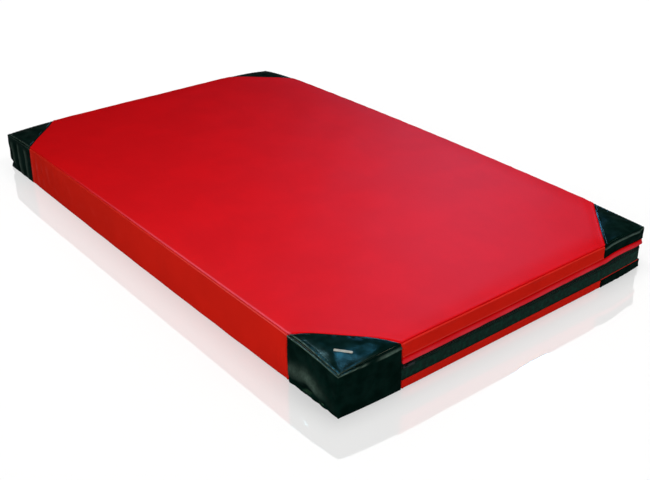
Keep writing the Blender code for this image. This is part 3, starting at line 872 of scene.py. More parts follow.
def leatherette_finish(name, colour, highlight_colour):
    """Smooth black leatherette with a fine pebbled grain; where highlights and sheen are painted on it
    turns paler and glossier.
    """
    surface = Surface(name, 0.50, 0.0, Coat_Roughness=0.18)
    object_place = surface.node("ShaderNodeTexCoord").outputs["Object"]
    pebbles = surface.value(
        "ShaderNodeTexVoronoi", {"feature": "SMOOTH_F1"}, {"Vector": object_place, "Scale": 620.0})
    soft = surface.noise(0.030, 4.0)
    streak = surface.noise(0.007, 3.0)
    base = surface.blend(soft.above(0.3, 0.75), tint(colour, 0.8), tint(colour, 1.5))
    # Painted highlight and sheen: paler colour by the point's share, which also raises the coat.
    highlight_share = surface.painted_highlight() * (0.72 + streak.above(0.35, 0.65) * 0.28)
    surface.feed("Base Color", surface.blend(highlight_share, base, (*highlight_colour, 1.0)))
    surface.feed("Roughness", 0.45 + soft * 0.10 + streak * 0.06)
    surface.feed("Coat Weight", 0.006 + soft.above(0.25, 0.80) * 0.024 + highlight_share * 0.03)
    surface.relief(soft * 0.35 + pebbles * 0.12 + streak * 0.13, 0.0006, 0.6)
    return surface.material


def webbing_finish(name, colour, pitch):
    """Dull woven tape: ribs along it with a twill across, and faded threads."""
    surface = Surface(name, 0.80, 0.06)
    along, up = surface.cut_place()
    ribs = (up * (math.tau / pitch)).sine()
    twill = ((along + up) * (math.tau / (pitch * 0.8))).sine()
    blotch = surface.noise(0.012, 4.0)
    lint = surface.noise(0.0020, 2.0)
    mottled = surface.blend(blotch.above(0.35, 0.75), tint(colour, 0.6), tint(colour, 2.0))
    surface.feed("Base Color", surface.blend(lint.above(0.62, 0.85) * 0.5, mottled, tint(colour, 3.5)))
    surface.feed("Roughness", 0.70 + blotch * 0.18)
    surface.relief(ribs * 0.5 + twill * 0.25 + lint * 0.3, 0.00025)
    return surface.material


def underside_finish(colour):
    """Non-slip cloth: dark, with rows of small raised dots."""
    surface = Surface("non_slip_cloth", 0.80, 0.25)
    along, up = surface.cut_place()
    pitch = math.tau / 0.006
    dots = ((along * pitch).sine() * (up * pitch).sine()).above(0.45, 0.75)
    blotch = surface.noise(0.09)
    base = surface.blend(blotch.above(0.3, 0.7), tint(colour, 0.8), tint(colour, 1.25))
    surface.feed("Base Color", surface.blend(dots, base, tint(colour, 0.45)))
    surface.feed("Roughness", 0.85 - dots * 0.30)
    surface.relief(dots + surface.noise(0.0015, 2.0) * 0.2, 0.0004)
    return surface.material


def foam_finish(colour):
    """Open-cell foam: pale, with pores and slight yellowing."""
    surface = Surface("core_foam", 0.95, 0.15, Subsurface_Weight=0.05)
    object_place = surface.node("ShaderNodeTexCoord").outputs["Object"]
    pores = surface.value("ShaderNodeTexVoronoi", {}, {"Vector": object_place, "Scale": 420.0})
    blotch = surface.noise(0.10)
    base = surface.blend(blotch.above(0.3, 0.7), tint(colour, 0.94), (0.66, 0.60, 0.42, 1.0))
    surface.feed("Base Color", surface.blend(pores.above(0.5, 0.9), base, tint(colour, 0.7)))
    surface.feed("Roughness", 0.92 + blotch * 0.06)
    surface.relief(pores, 0.0008)
    return surface.material


def hard_finish(name, colour, roughness, metallic, brushed=0.0015, chipped=None, specular=0.10):
    """Moulded or plated small parts: fine scratches, handling wear and a little orange peel."""
    surface = Surface(name, roughness, specular, Metallic=metallic)
    scratch = surface.noise(brushed, 3.0, stretch=(1.0, 0.15, 1.0))
    peel = surface.noise(0.0008, 2.0)
    base = surface.blend(scratch.above(0.3, 0.7), tint(colour, 0.85), tint(colour, 1.2))
    chips = peel.above(0.68, 0.74) * 0.5
    surface.feed("Base Color", surface.blend(chips, base, chipped or tint(colour, 1.6)))
    surface.feed("Roughness", roughness - 0.06 + scratch * 0.14)
    surface.relief(scratch * 0.6 + peel * 0.4, 0.00006)
    return surface.material


def thread_finish(name, colour):
    """Twisted sewing thread."""
    surface = Surface(name, 0.62, 0.3)
    twist = surface.noise(0.0006, 1.0)
    shade = surface.noise(0.02)
    surface.feed("Base Color", surface.blend(twist.above(0.3, 0.7), tint(colour, 0.75), tint(colour, 1.25)))
    surface.feed("Roughness", 0.55 + shade * 0.15)
    surface.relief(twist, 0.0001)
    return surface.material


def made(name, maker, *arguments):
    """A material by name, made once."""
    return bpy.data.materials.get(name) or maker(name, *arguments)


def red_cloth():
    colour = bpy.context.scene.mat_colours.red_cloth
    return made("red_cover_cloth", red_cloth_finish, colour, PAINTED_HIGHLIGHT_TOP)


# The red cloth in a warmer tone for the sides and the zip's bands: painted warm light.
def side_cloth():
    colour = bpy.context.scene.mat_colours.side_cloth
    return made("red_side_cloth", red_cloth_finish, colour, PAINTED_HIGHLIGHT_SIDE)


def leatherette():
    colour = bpy.context.scene.mat_colours.leatherette
    return made("black_corner_leatherette", leatherette_finish, colour, PAINTED_HIGHLIGHT_LEATHERETTE)


class MAT_OT_stage(bpy.types.Operator):
    """Lays the pale floor and sets up the lamps, the sky and the camera"""

    bl_idname = "mat.stage"
    bl_label = "Floor, light and camera"

    def execute(self, context):
        studio = context.scene.mat_studio
        self.add_sky(context, studio)
        lamps = (
            ("key_lamp", (0.60, 0.00, 2.15), (0.60, 0.0, 0.0), 0.9, studio.key, (1.0, 0.985, 0.96)),
            ("fill_lamp", (1.60, -3.40, 1.60), (0.6, -0.6, 0.0), 1.6, studio.fill, (1.0, 0.99, 0.97)),
            ("side_lamp", (3.60, 0.60, 1.50), (1.0, 0.0, 0.0), 1.2, studio.side, (1.0, 0.99, 0.97)),
        )
        for lamp in lamps:
            self.add_lamp(*lamp)
        near_corner = (1.0, -0.6, 0.1)
        for name, place, size, power, colour in (
            ("skylight", (-0.30, 0.45, 2.75), 0.8, studio.skylight, (0.12, 0.60, 1.0)),
            ("strip_light", (-1.00, -0.50, 2.45), 0.45, studio.strip, (0.45, 0.85, 1.0)),
            ("window", (-3.85, 5.10, 3.90), 1.8, studio.window, (0.14, 0.50, 0.92)),
            ("light_panel", (-1.50, -2.40, 0.95), 1.6, studio.panel, (0.50, 1.0, 0.55)),
        ):
            lamp = self.add_lamp(name, place, near_corner, size, power, colour)
            lamp.visible_diffuse = False
        self.add_floor(studio, lamps)
        self.add_camera(context)
        context.scene.view_settings.view_transform = "Standard"
        return {"FINISHED"}

    def add_sky(self, context, studio):
        world = bpy.data.worlds.new("studio_sky")
        context.scene.world = world
        sky = Finish(world)
        seen = self.seen_rays(sky)
        dim = sky.node("ShaderNodeBackground", {}, {0: (0.98, 1.0, 1.0, 1.0), 1: studio.sky})
        white = sky.node("ShaderNodeBackground", {}, {0: (1.0, 1.0, 1.0, 1.0), 1: 1.0})
        shown = sky.node("ShaderNodeMixShader", {}, {0: seen, 1: dim.outputs[0], 2: white.outputs[0]})
        sky.tree.links.new(shown.outputs[0], sky.tree.nodes["World Output"].inputs[0])

    def seen_rays(self, finish):
        """One for rays that come straight from the camera, a gloss or a clear surface."""
        rays = finish.node("ShaderNodeLightPath")
        total = Value(finish, rays.outputs["Is Camera Ray"]) + Value(finish, rays.outputs["Is Glossy Ray"])
        total = total + Value(finish, rays.outputs["Is Transmission Ray"])
        return total.maths("MINIMUM", total, 1.0)

    def add_lamp(self, name, place, aim, size, power, colour):
        data = bpy.data.lights.new(name, "AREA")
        data.shape = "SQUARE"
        data.size = size
        data.energy = power
        data.color = colour
        lamp = bpy.data.objects.new(name, data)
        bpy.context.scene.collection.objects.link(lamp)
        lamp.location = place
        lamp.visible_camera = False
        away = lamp.location - type(lamp.location)(aim)
        lamp.rotation_euler = away.to_track_quat("Z", "Y").to_euler()
        return lamp

    def lamp_light(self, paint, split, place, aim, power):
        """Light that a lamp throws on a point of the floor, where white paper would show it as 1."""
        x = Value(paint, split.outputs[0]) - place[0]
        y = Value(paint, split.outputs[1]) - place[1]
        far = x * x + y * y + place[2] ** 2
        toward = [end - start for start, end in zip(place, aim)]
        ahead = (x * toward[0] + y * toward[1] - place[2] * toward[2]) / math.hypot(*toward)
        ahead = ahead.maths("MAXIMUM", ahead, 0.0)
        return ahead * (place[2] * power / math.pi**2) / far**2

    def add_floor(self, studio, lamps):
        bpy.ops.object.select_all(action="DESELECT")
        bpy.ops.mesh.primitive_plane_add(size=40.0)
        floor = adopt("floor")
        material = bpy.data.materials.new("pale_floor")
        paint = Finish(material)
        place = paint.node("ShaderNodeTexCoord").outputs["Object"]
        split = paint.node("ShaderNodeSeparateXYZ", {}, {0: place})
        light = studio.sky
        for _, lamp_place, aim, _, power, _ in lamps:
            light = light + self.lamp_light(paint, split, lamp_place, aim, power)
        seen = self.seen_rays(paint)
        back = studio.floor - seen * FLOOR_SEEN_LESS
        evened = FLOOR_WHITE - light * back
        glow = evened.maths("MAXIMUM", evened, 0.0) * seen
        shade = paint.node("ShaderNodeCombineXYZ", {}, {0: glow, 1: glow, 2: glow})
        emission = paint.node("ShaderNodeEmission", {}, {0: shade.outputs[0]})
        pale = paint.node("ShaderNodeCombineXYZ", {}, {0: back, 1: back, 2: back})
        diffuse = paint.node("ShaderNodeBsdfDiffuse", {}, {0: pale.outputs[0]})
        lit = paint.node("ShaderNodeAddShader", {}, {0: diffuse.outputs[0], 1: emission.outputs[0]})
        gloss = paint.node("ShaderNodeBsdfGlossy", {}, {"Color": (1.0, 1.0, 1.0, 1.0), "Roughness": 0.03})
        rays = paint.node("ShaderNodeLightPath")
        shown = Value(paint, rays.outputs["Is Camera Ray"]) * FLOOR_GLOSS
        mixed = paint.node("ShaderNodeMixShader", {}, {0: shown, 1: lit.outputs[0], 2: gloss.outputs[0]})
        paint.tree.links.new(mixed.outputs[0], paint.tree.nodes["Material Output"].inputs[0])
        floor.data.materials.append(material)

    def add_camera(self, context):
        data = bpy.data.cameras.new("camera")
        data.lens = CAMERA_LENS
        data.sensor_width = 36.0
        camera = bpy.data.objects.new("camera", data)
        context.scene.collection.objects.link(camera)
        x, y, z = CAMERA_PLACE
        camera.location = (x - SHIFT_X, y - SHIFT_Y, z)
        camera.rotation_euler = [math.radians(angle) for angle in CAMERA_TURN]
        context.scene.camera = camera


class MAT_OT_foam_core(bpy.types.Operator):
    """Adds the foam block that fills the cover"""

    bl_idname = "mat.foam_core"
    bl_label = "Foam core"

    def execute(self, context):
        low = np.array([CORE_SIDE_DEPTH - HALF_LENGTH, CORE_SIDE_DEPTH - HALF_WIDTH, CORE_SIDE_DEPTH])
        high = np.array([
            HALF_LENGTH - CORE_ZIP_DEPTH, HALF_WIDTH - CORE_ZIP_DEPTH, THICKNESS - CORE_SIDE_DEPTH])
        bpy.ops.object.select_all(action="DESELECT")
        bpy.ops.mesh.primitive_cube_add(size=1.0)
        piece = adopt("foam_core_block")
        write_points(piece, (low + high) / 2 + read_points(piece) * (high - low))
        steps = (0.006, 0.008, 0.010, 0.015, 0.030, 0.060, 0.100, 0.150, 0.200, 0.250)
        for axis, half in ((0, HALF_LENGTH), (1, HALF_WIDTH)):
            self.cut(piece, axis, [half - step for step in steps] + [step - half for step in steps])
        self.cut(piece, 2, [0.005, 0.0075, 0.010, 0.028, 0.075, 0.122, 0.140, 0.1425, 0.145])
        with editing(piece):
            bpy.ops.mesh.subdivide(number_cuts=1)
        points = read_points(piece)
        end, side = edge_distances(points[:, 0], points[:, 1])
        slack = -CORNER_SLACK * eased((BESIDE_PATCH - end) / 0.02) * eased((BESIDE_PATCH - side) / 0.02)
        write_points(piece, drawn(points, slack))
        hand_over(piece, ["foam_core"], foam_finish(context.scene.mat_colours.foam), "foam")
        return {"FINISHED"}

    def cut(self, piece, axis, places):
        across = [float(axis == step) for step in range(3)]
        score(piece, (0.0, 0.0, 0.0), across, places)


def rim_dropped(corner, distance):
    """Share of its drop that a corner's rim seam has made, at a distance from the corner's tip."""
    return eased(distance / RIM_DROPS[corner][1]) if corner in RIM_DROPS else np.zeros_like(distance)


def corner_point(signs):
    """The middle of a corner patch's long edge, laid flat."""
    sign_x, sign_y = signs
    return (sign_x * (HALF_LENGTH - PATCH_LEG / 2), sign_y * (HALF_WIDTH - PATCH_LEG / 2), 0.0)


def towards_corner(signs):
    """The direction across a patch's long edge, out to the corner."""
    return (signs[0] * math.sqrt(0.5), signs[1] * math.sqrt(0.5), 0.0)


def panel_stations(half):
    """Places across a panel, close together beside its edges and wide apart between."""
    inner = half - BESIDE_PATCH
    return stations([(-half, -inner, 0.005), (-inner, inner, 0.020), (inner, half, 0.005)], (-half, half))


def add_panel(name):
    """A top or bottom panel laid flat, cut off along the corner patches behind a seam allowance."""
    columns = panel_stations(HALF_LENGTH)
    rows = panel_stations(HALF_WIDTH)
    piece = flat_cloth(name, columns, rows)
    for signs in CORNERS.values():
        outward = towards_corner(signs)
        middle = corner_point(signs)
        trim(piece, [start + SEAM_ALLOWANCE * step for start, step in zip(middle, outward)], outward)
        score(piece, middle, outward, [0.001, *[-distance for distance in BESIDE_SEAM]])
    return piece


def panel_distances(x, y):
    """How far places lie in from the panel's edge, and beyond the corner patches' long edges."""
    end, side = edge_distances(x, y)
    return np.minimum(end, side), (end + side - PATCH_LEG) / math.sqrt(2.0)


class MAT_OT_top_panel(bpy.types.Operator):
    """Adds the red top panel with its seams and gathers"""

    bl_idname = "mat.top_panel"
    bl_label = "Top panel"

    def execute(self, context):
        sewing = context.scene.mat_sewing
        piece = add_panel("red_top_panel")

        def height(x, y):
            rim, beyond = panel_distances(x, y)
            end, side = edge_distances(x, y)
            level = seam_level(end, y, sewing, 0.9, 11) + seam_level(side, x, sewing, 1.5, 14, 0.4)
            level = np.maximum(level, -sewing.seam_depth) + seam_level(beyond, x - y, sewing, 0.4, 12, 0.5)
            level += 0.0006 * uneven(x, y, 0.30, 13) * eased(rim / 0.05)
            return allowance_level(beyond, level, sewing)

        # Painted highlights on the seam ridges: faint along the ends, stronger along the front edge towards
        # the near corner.
        def highlighted(x, y):
            front_highlight = ridge_highlight(HALF_WIDTH + y, sewing, 0.0026) * highlight_towards_near(x)
            return np.maximum(0.10 * ridge_highlight(HALF_LENGTH - np.abs(x), sewing), front_highlight)

        raise_cloth(piece, height, highlighted)
        lay_cloth(piece, on_top, CLOTH_THICKNESS)
        hand_over(piece, ["top_panel"], red_cloth(), "red_cloth", **PANEL_CUT)
        return {"FINISHED"}


class MAT_OT_bottom_panel(bpy.types.Operator):
    """Adds the non-slip cloth below"""

    bl_idname = "mat.bottom_panel"
    bl_label = "Underside"

    def execute(self, context):
        sewing = context.scene.mat_sewing
        piece = add_panel("underside_panel")

        def height(x, y):
            rim, beyond = panel_distances(x, y)
            level = seam_level(rim, x - y, sewing, 0.0) + seam_level(beyond, x - y, sewing, 0.0)
            settled = COVER_DEPTH * clamp01(beyond * math.sqrt(2.0) / LATTICE)
            return allowance_level(beyond, level - settled, sewing)

        raise_cloth(piece, height)
        lay_cloth(piece, on_underside, CLOTH_THICKNESS)
        finish = underside_finish(context.scene.mat_colours.underside)
        hand_over(piece, ["bottom_panel"], finish, "underside_cloth", **PANEL_CUT)
        return {"FINISHED"}


def wall_rows(low, high, step):
    return stations([(low, high, step)], (low, high))


def wall_level(along, height, sewing, seed, ridge=1.0, sunk=0.4):
    """Rims of a wall: sewn to the top with a ridge, and to the underside without one."""
    top = seam_level(THICKNESS - height, along, sewing, ridge, seed, sunk)
    low = seam_level(height, along, sewing, 0.35, seed + 1)
    return top + low + 0.0005 * uneven(along, height, 0.16, seed + 2)


class MAT_OT_plain_walls(bpy.types.Operator):
    """Adds the plain red walls between the corner patches"""

    bl_idname = "mat.plain_walls"
    bl_label = "Plain walls"

    def execute(self, context):
        side = HALF_LENGTH - PATCH_LEG
        end = HALF_WIDTH - PATCH_LEG
        back_end = HALF_LENGTH - BACK_RUN - SEWN_GAP
        self.add_wall("front_wall_cloth", "front_side_wall", on_front, -side, side, (-side, side), 31)
        self.add_wall("left_wall_cloth", "left_end_wall", on_left_end, -end, end, (-end, end), 41)
        self.add_wall("back_wall_cloth", "back_side_wall", on_back, -side, back_end, (-side,), 51)
        return {"FINISHED"}

    def add_wall(self, name, node, place, start, end, sewn_to, seed):
        """A wall from start to end, with gathers beside the patches that it is sewn to."""
        sewing = bpy.context.scene.mat_sewing
        low = start - SEAM_ALLOWANCE
        high = end + SEAM_ALLOWANCE if end in sewn_to else end
        columns = stations([(low, high, 0.006)], (start, end))
        piece = flat_cloth(name, columns, wall_rows(0.0, THICKNESS, 0.006))

        def gathers(beyond):
            waves = np.sin(math.tau * beyond / GATHER_PITCH + 0.8 * ripple(beyond, 0.20, seed + 4))
            return waves * np.exp(-np.maximum(beyond, 0.0) / 0.13)

        def height(along, up):
            level = wall_level(along, up, sewing, seed)
            middle = np.sin(math.pi * clamp01(up / THICKNESS))
            swell = np.sin(math.pi * clamp01((along - start) / (end - start)))
            level += WALL_SWELL * swell * eased((THICKNESS - up) / 0.05)
            for edge, inward, strength in zip((start, end), (1.0, -1.0), GATHER_HEIGHTS):
                beyond = (along - edge) * inward
                if edge in sewn_to:
                    level += seam_level(beyond, up, sewing, 0.8, seed + 3)
                    level += strength * gathers(beyond) * middle * eased(beyond / 0.01)
            for edge, inward in ((start, 1.0), (end, -1.0)):
                if edge in sewn_to:
                    level = allowance_level((along - edge) * inward, level, sewing)
            return level

        # Painted highlight on the top rim's ridge, and painted sheen in streaks on the gathers near the
        # wall's start.
        def highlighted(along, up):
            rim = 0.75 * ridge_highlight(THICKNESS - up, sewing, 0.0014) * highlight_towards_near(along - 0.45)
            middle = np.sin(math.pi * clamp01(up / THICKNESS))
            streaks = clamp01(gathers(along - start) + 0.5 * uneven(along, up, 0.060, seed + 5) - 0.1)
            return np.maximum(rim, 0.38 * streaks * middle * np.exp(-(along - start) / 0.30))

        raise_cloth(piece, height, highlighted)
        lay_cloth(piece, place, CLOTH_THICKNESS)
        hand_over(piece, [node], side_cloth(), "red_cloth", flat=(THICKNESS, high - low))


class MAT_OT_zip_bands(bpy.types.Operator):
    """Adds the red bands above and below the zip"""

    bl_idname = "mat.zip_bands"
    bl_label = "Zip end bands"

    def execute(self, context):
        sewing = context.scene.mat_sewing
        run = round_corner("right")
        seams = (NEAR_PATCH_EDGE, -PATCH_LEG, 0.0, PATCH_LEG)
        columns = stations([(NEAR_PATCH_EDGE - SEAM_ALLOWANCE, BACK_RUN, 0.006)], seams)
        rows = stations([(HEM_BOTTOM, THICKNESS, 0.005)], (FLAP_TOP, THICKNESS))
        piece = flat_cloth("zip_end_upper_cloth", columns, rows)

        def upper(along, up):
            level = wall_level(along, up, sewing, 61, 1.25, 1.0)
            level -= 0.0005 * hump(THICKNESS - up - HEM_DISTANCE, 0.0010)
            level += 0.0013 * hump(up - FLAP_TOP - 0.0040, 0.0018)
            level = self.beside_patches(along, up, level, sewing, 64, ALLOWANCE_LEVEL)
            return np.where(up > FLAP_TOP, level, np.minimum(level, -COVER_DEPTH))

        # Painted highlights on the top rim's ridge and on the ridge just above the flap.
        def highlighted(along, up):
            rim_highlight = 0.18 * ridge_highlight(THICKNESS - up, sewing, 0.0016)
            return rim_highlight + 0.24 * hump(up - FLAP_TOP - 0.0048, 0.0016)

        raise_cloth(piece, upper, highlighted)
        lay_cloth(piece, run, CLOTH_THICKNESS)
        span = columns[-1] - columns[0]
        hand_over(piece, ["zip_end_upper_band"], side_cloth(), "red_cloth",
                  flat=(THICKNESS - HEM_BOTTOM, span))

        top = LOWER_BAND_TOP
        heights = list(stations([(0.0, top - 0.0022, 0.005)], (0.0,)))
        rows = [(height, 0.0) for height in heights]
        rows += [(top - 0.0012, -0.0001), (top - 0.0004, -0.0004), (top, -0.0010), (top - 0.0005, -0.0016),
                 (top - 0.0080, -0.0018)]
        piece = flat_cloth("zip_end_lower_cloth", columns, rows)

        def lower(along, up):
            level = seam_level(up, along, sewing, 0.35, 71)
            level += 0.0006 * hump(top - 0.004 - up, 0.003) * (1.0 + 0.6 * ripple(along, 0.05, 72))
            return self.beside_patches(along, up, level, sewing, 73, -0.0016)

        raise_cloth(piece, lower)
        lay_cloth(piece, run, TURNED_THICKNESS)
        hand_over(piece, ["zip_end_lower_band"], side_cloth(), "red_cloth", flat=(top + 0.010, span))
        return {"FINISHED"}

    def beside_patches(self, along, up, level, sewing, seed, pressed):
        """Seams where the band meets the near and right patches, and the parts that lie below them."""
        near = along - NEAR_PATCH_EDGE
        right = np.abs(along) - PATCH_LEG
        level = level + seam_level(near, up, sewing, 0.8, seed)
        level = level + seam_level(right, up, sewing, 0.8, seed + 1)
        level = allowance_level(near, level, sewing)
        covered = -sewing.seam_depth + (pressed + sewing.seam_depth) * eased(-right / ALLOWANCE_FALL)
        return np.where(right > 0.0, level, covered)


class MAT_OT_zip_flap(bpy.types.Operator):
    """Adds the flap over the zip, with its rolled lip"""

    bl_idname = "mat.zip_flap"
    bl_label = "Zip flap"

    def execute(self, context):
        columns = stations([(ZIP_START, BACK_RUN, 0.006)], (0.0,))
        rows = self.section()
        piece = flat_cloth("zip_flap_cloth", columns, rows)
        points = read_points(piece)
        along, up = points[:, 0], points[:, 1]
        down = clamp01((FLAP_TOP - up) / (FLAP_TOP - FLAP_BOTTOM))
        points[:, 2] += 0.0004 * down * ripple(along, 0.055, 81) + 0.0003 * down * ripple(along, 0.016, 82)
        points[:, 1] += 0.0005 * down * ripple(along, 0.090, 83)
        write_points(piece, points)
        # Painted highlight over the flap's lower part and its lip.
        mark_painted_highlight(piece, 0.42 * eased(down * 1.6) * (0.8 + 0.2 * ripple(along, 0.12, 84)))
        lay_cloth(piece, round_corner("right"), CLOTH_THICKNESS)
        cut = (np.linalg.norm(np.diff(rows, axis=0), axis=1).sum(), BACK_RUN - ZIP_START)
        hand_over(piece, ["zip_flap"], red_cloth(), "red_cloth", flat=cut, angle=50, held="folded",
                  rests_on="zip_end_upper_cloth")
        return {"FINISHED"}

    def section(self):
        """The folded strip's section as pairs of height and out: down behind, and up the front."""
        roll = FLAP_FOLD / 2
        free = FLAP_TOP - FLAP_BOTTOM - roll
        sewn_fold = 2.2 * CLOTH_THICKNESS
        front = []
        behind = []
        for share in np.linspace(0.0, 1.0, 12):
            out = FLAP_SEWN_OUT + (FLAP_LIP - FLAP_SEWN_OUT) * share**FLAP_CURVE
            out += 0.0005 * hump(share - 0.02, 0.05) - 0.0006 * hump(share - 0.12, 0.03)
            fold = sewn_fold + (FLAP_FOLD - sewn_fold) * share
            front.append((FLAP_TOP - free * share, out))
            behind.append((FLAP_TOP - free * share, out - fold))
        turned = []
        for step in range(1, 6):
            angle = math.pi * step / 6
            turned.append((FLAP_BOTTOM + roll * (1.0 - math.sin(angle)),
                           FLAP_LIP - roll * (1.0 - math.cos(angle))))
        return behind + turned[::-1] + front[::-1]


class MAT_OT_zip_tapes(bpy.types.Operator):
    """Adds the webbing facing and the zip's two tapes"""

    bl_idname = "mat.zip_tapes"
    bl_label = "Facing and tapes"

    def execute(self, context):
        colour = context.scene.mat_colours.webbing
        facing = webbing_finish("facing_webbing", colour, 0.0022)
        tape = webbing_finish("zip_tape_weave", tint(colour, 0.8)[:3], 0.0012)
        slit_bottom = CHAIN_HEIGHT - CHAIN_SLIT / 2
        slit_top = CHAIN_HEIGHT + CHAIN_SLIT / 2
        self.add_strip("facing_band", "zip_facing", FACING_BOTTOM, FACING_TOP,
                       FACING_DEPTH, CLOTH_THICKNESS, facing, 91)
        self.add_strip("lower_zip_tape_weave", "zip_lower_tape", slit_bottom - TAPE_WIDTH, slit_bottom,
                       TAPE_DEPTH, TAPE_THICKNESS, tape, 94)
        self.add_strip("upper_zip_tape_weave", "zip_upper_tape", slit_top, slit_top + TAPE_WIDTH,
                       TAPE_DEPTH, TAPE_THICKNESS, tape, 97)
        return {"FINISHED"}

    def add_strip(self, name, node, bottom, top, depth, thickness, material, seed):
        columns = stations([(NEAR_PATCH_EDGE - SEAM_ALLOWANCE, BACK_RUN, 0.008)], (0.0,))
        rows = stations([(bottom, top, 0.004)])
        piece = flat_cloth(name, columns, rows)
        wavy = 0.0003 if depth < TAPE_DEPTH else 0.0

        def height(along, up):
            return -depth + wavy * uneven(along, up, 0.05, seed)

        raise_cloth(piece, height)
        lay_cloth(piece, round_corner("right"), thickness)
        hand_over(piece, [node], material, "black_webbing", flat=(top - bottom, columns[-1] - columns[0]))


def row_of_copies(piece, pitch, count):
    """Repeats a small piece along X, each copy with its own mesh."""
    row = piece.modifiers.new("row", "ARRAY")
    row.use_relative_offset = False
    row.use_constant_offset = True
    row.constant_offset_displace = (pitch, 0.0, 0.0)
    row.count = count
    apply_modifiers(piece)


class MAT_OT_zip_teeth(bpy.types.Operator):
    """Adds the two rows of moulded coil teeth"""

    bl_idname = "mat.zip_teeth"
    bl_label = "Zip teeth"

    def execute(self, context):
        material = hard_finish("coil_plastic", context.scene.mat_colours.plastic, 0.35, 0.0)
        offset = CHAIN_SLIT / 2 + COIL_WIDTH / 2
        self.add_row("lower_zip_coil", "zip_lower_teeth", CHAIN_HEIGHT - offset, 1.0, material)
        self.add_row("upper_zip_coil", "zip_upper_teeth", CHAIN_HEIGHT + offset, -1.0, material)
        return {"FINISHED"}

    def add_row(self, name, node, height, towards, material):
        """One turn of the coil is a bean that thickens to a head at the slit."""
        pitch = bpy.context.scene.mat_sewing.tooth_pitch
        start = NEAR_PATCH_EDGE - CHAIN_TUCK
        bpy.ops.object.select_all(action="DESELECT")
        bpy.ops.mesh.primitive_uv_sphere_add(segments=6, ring_count=4, radius=0.5)
        piece = adopt(name)
        points = read_points(piece)
        head = 0.5 + towards * points[:, 1]
        points[:, 0] *= 0.55 + 0.45 * head
        points[:, 0] += 0.15 * towards * points[:, 1]
        points *= np.array([0.95 * pitch, COIL_WIDTH, COIL_THICKNESS])
        points += np.array([start + pitch / 2, height, -COIL_DEPTH - COIL_THICKNESS / 2])
        write_points(piece, points)
        row_of_copies(piece, pitch, int((BACK_RUN - start) / pitch))
        lay_on_mat(piece, round_corner("right"))
        hand_over(piece, [node], material, "black_plastic", angle=70)


class MAT_OT_zip_fittings(bpy.types.Operator):
    """Gives the slider, the pull tab and the stops their metal, with handling wear"""

    bl_idname = "mat.zip_fittings"
    bl_label = "Slider, tab and stops"

    def execute(self, context):
        colours = context.scene.mat_colours
        chipped = (0.05, 0.05, 0.055, 1.0)
        black = hard_finish("black_plated_metal", colours.metal, 0.36, 0.6, 0.0012, chipped)
        steel = hard_finish("stop_steel", colours.steel, 0.40, 0.8)
        for nodes, material in (
            (("zip_slider", "zip_pull_tab"), black),
            (("zip_near_stop", "zip_far_stop"), steel),
        ):
            for node in nodes:
                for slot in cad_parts[node].material_slots:
                    slot.material = material
        return {"FINISHED"}


class MAT_OT_corner_top_patches(bpy.types.Operator):
    """Adds the leatherette triangles on the top corners"""

    bl_idname = "mat.corner_top_patches"
    bl_label = "Top corner patches"

    def execute(self, context):
        sewing = context.scene.mat_sewing
        for number, (corner, signs) in enumerate(CORNERS.items()):
            piece = add_triangle(f"{corner}_top_leatherette", signs)

            def height(x, y):
                rim, beyond = panel_distances(x, y)
                end, side = edge_distances(x, y)
                seed = 101 + 10 * number
                tip = 1.0 - 0.9 * hump(end + side, 0.012)
                level = seam_level(end, side, sewing, 1.6, seed) * (1.0 - rim_dropped(corner, side))
                level += seam_level(side, end, sewing, 1.6, seed + 1)
                level = np.maximum(level, -sewing.seam_depth) * tip
                level += CORNER_POINT * hump(end + side, POINT_REACH)
                level += seam_level(-beyond, end - side, sewing, 0.0, seed + 2, 0.5)
                swell = TOP_PATCH_SWELL * eased(end / 0.075) * eased(side / 0.045)
                level += (swell - TOP_PATCH_SINK) * tip
                gathers = np.sin(math.tau * (end + 0.8 * side) / 0.0105 + ripple(end, 0.05, seed + 3))
                beside = hump(side - 0.0090, 0.0050) * eased(end / 0.03) * eased((0.19 - end) / 0.05)
                level += 0.0011 * gathers * beside
                level += 0.0005 * uneven(x, y, 0.070, seed + 4) * eased(rim / 0.02) * eased(-beyond / 0.02)
                return level

            # Painted highlights on the ridges beside the patch's seams, patchy along the long side.
            def highlighted(x, y):
                end, side = edge_distances(x, y)
                patchy = 0.55 + 0.45 * ripple(end, 0.022, 107 + 10 * number)
                end_highlight = 0.35 * ridge_highlight(end, sewing) * (1.0 - rim_dropped(corner, side))
                return np.maximum(end_highlight, ridge_highlight(side, sewing) * patchy)

            raise_cloth(piece, height, highlighted)
            # The right-hand patch is pulled flat by the raised edge beside it
            fill = TOP_FILL if corner != "right" else None
            lay_cloth(piece, on_top, PATCH_THICKNESS, fill)
            hand_over(piece, [f"{corner}_corner_top_patch"], leatherette(), "black_leatherette",
                      **TRIANGLE_CUT)
        return {"FINISHED"}


def add_triangle(name, signs, step=0.004):
    """A corner's triangle laid flat, cut from a square along its long edge."""
    sign_x, sign_y = signs
    ends = sorted((sign_x * HALF_LENGTH, sign_x * (HALF_LENGTH - PATCH_LEG)))
    sides = sorted((sign_y * HALF_WIDTH, sign_y * (HALF_WIDTH - PATCH_LEG)))
    columns = stations([(ends[0], ends[1], step)], (sign_x * HALF_LENGTH,))
    rows = stations([(sides[0], sides[1], step)], (sign_y * HALF_WIDTH,))
    piece = flat_cloth(name, columns, rows)
    middle = corner_point(signs)
    outward = towards_corner(signs)
    trim(piece, middle, [-step for step in outward])
    score(piece, middle, outward, BESIDE_SEAM[1:])
    return piece


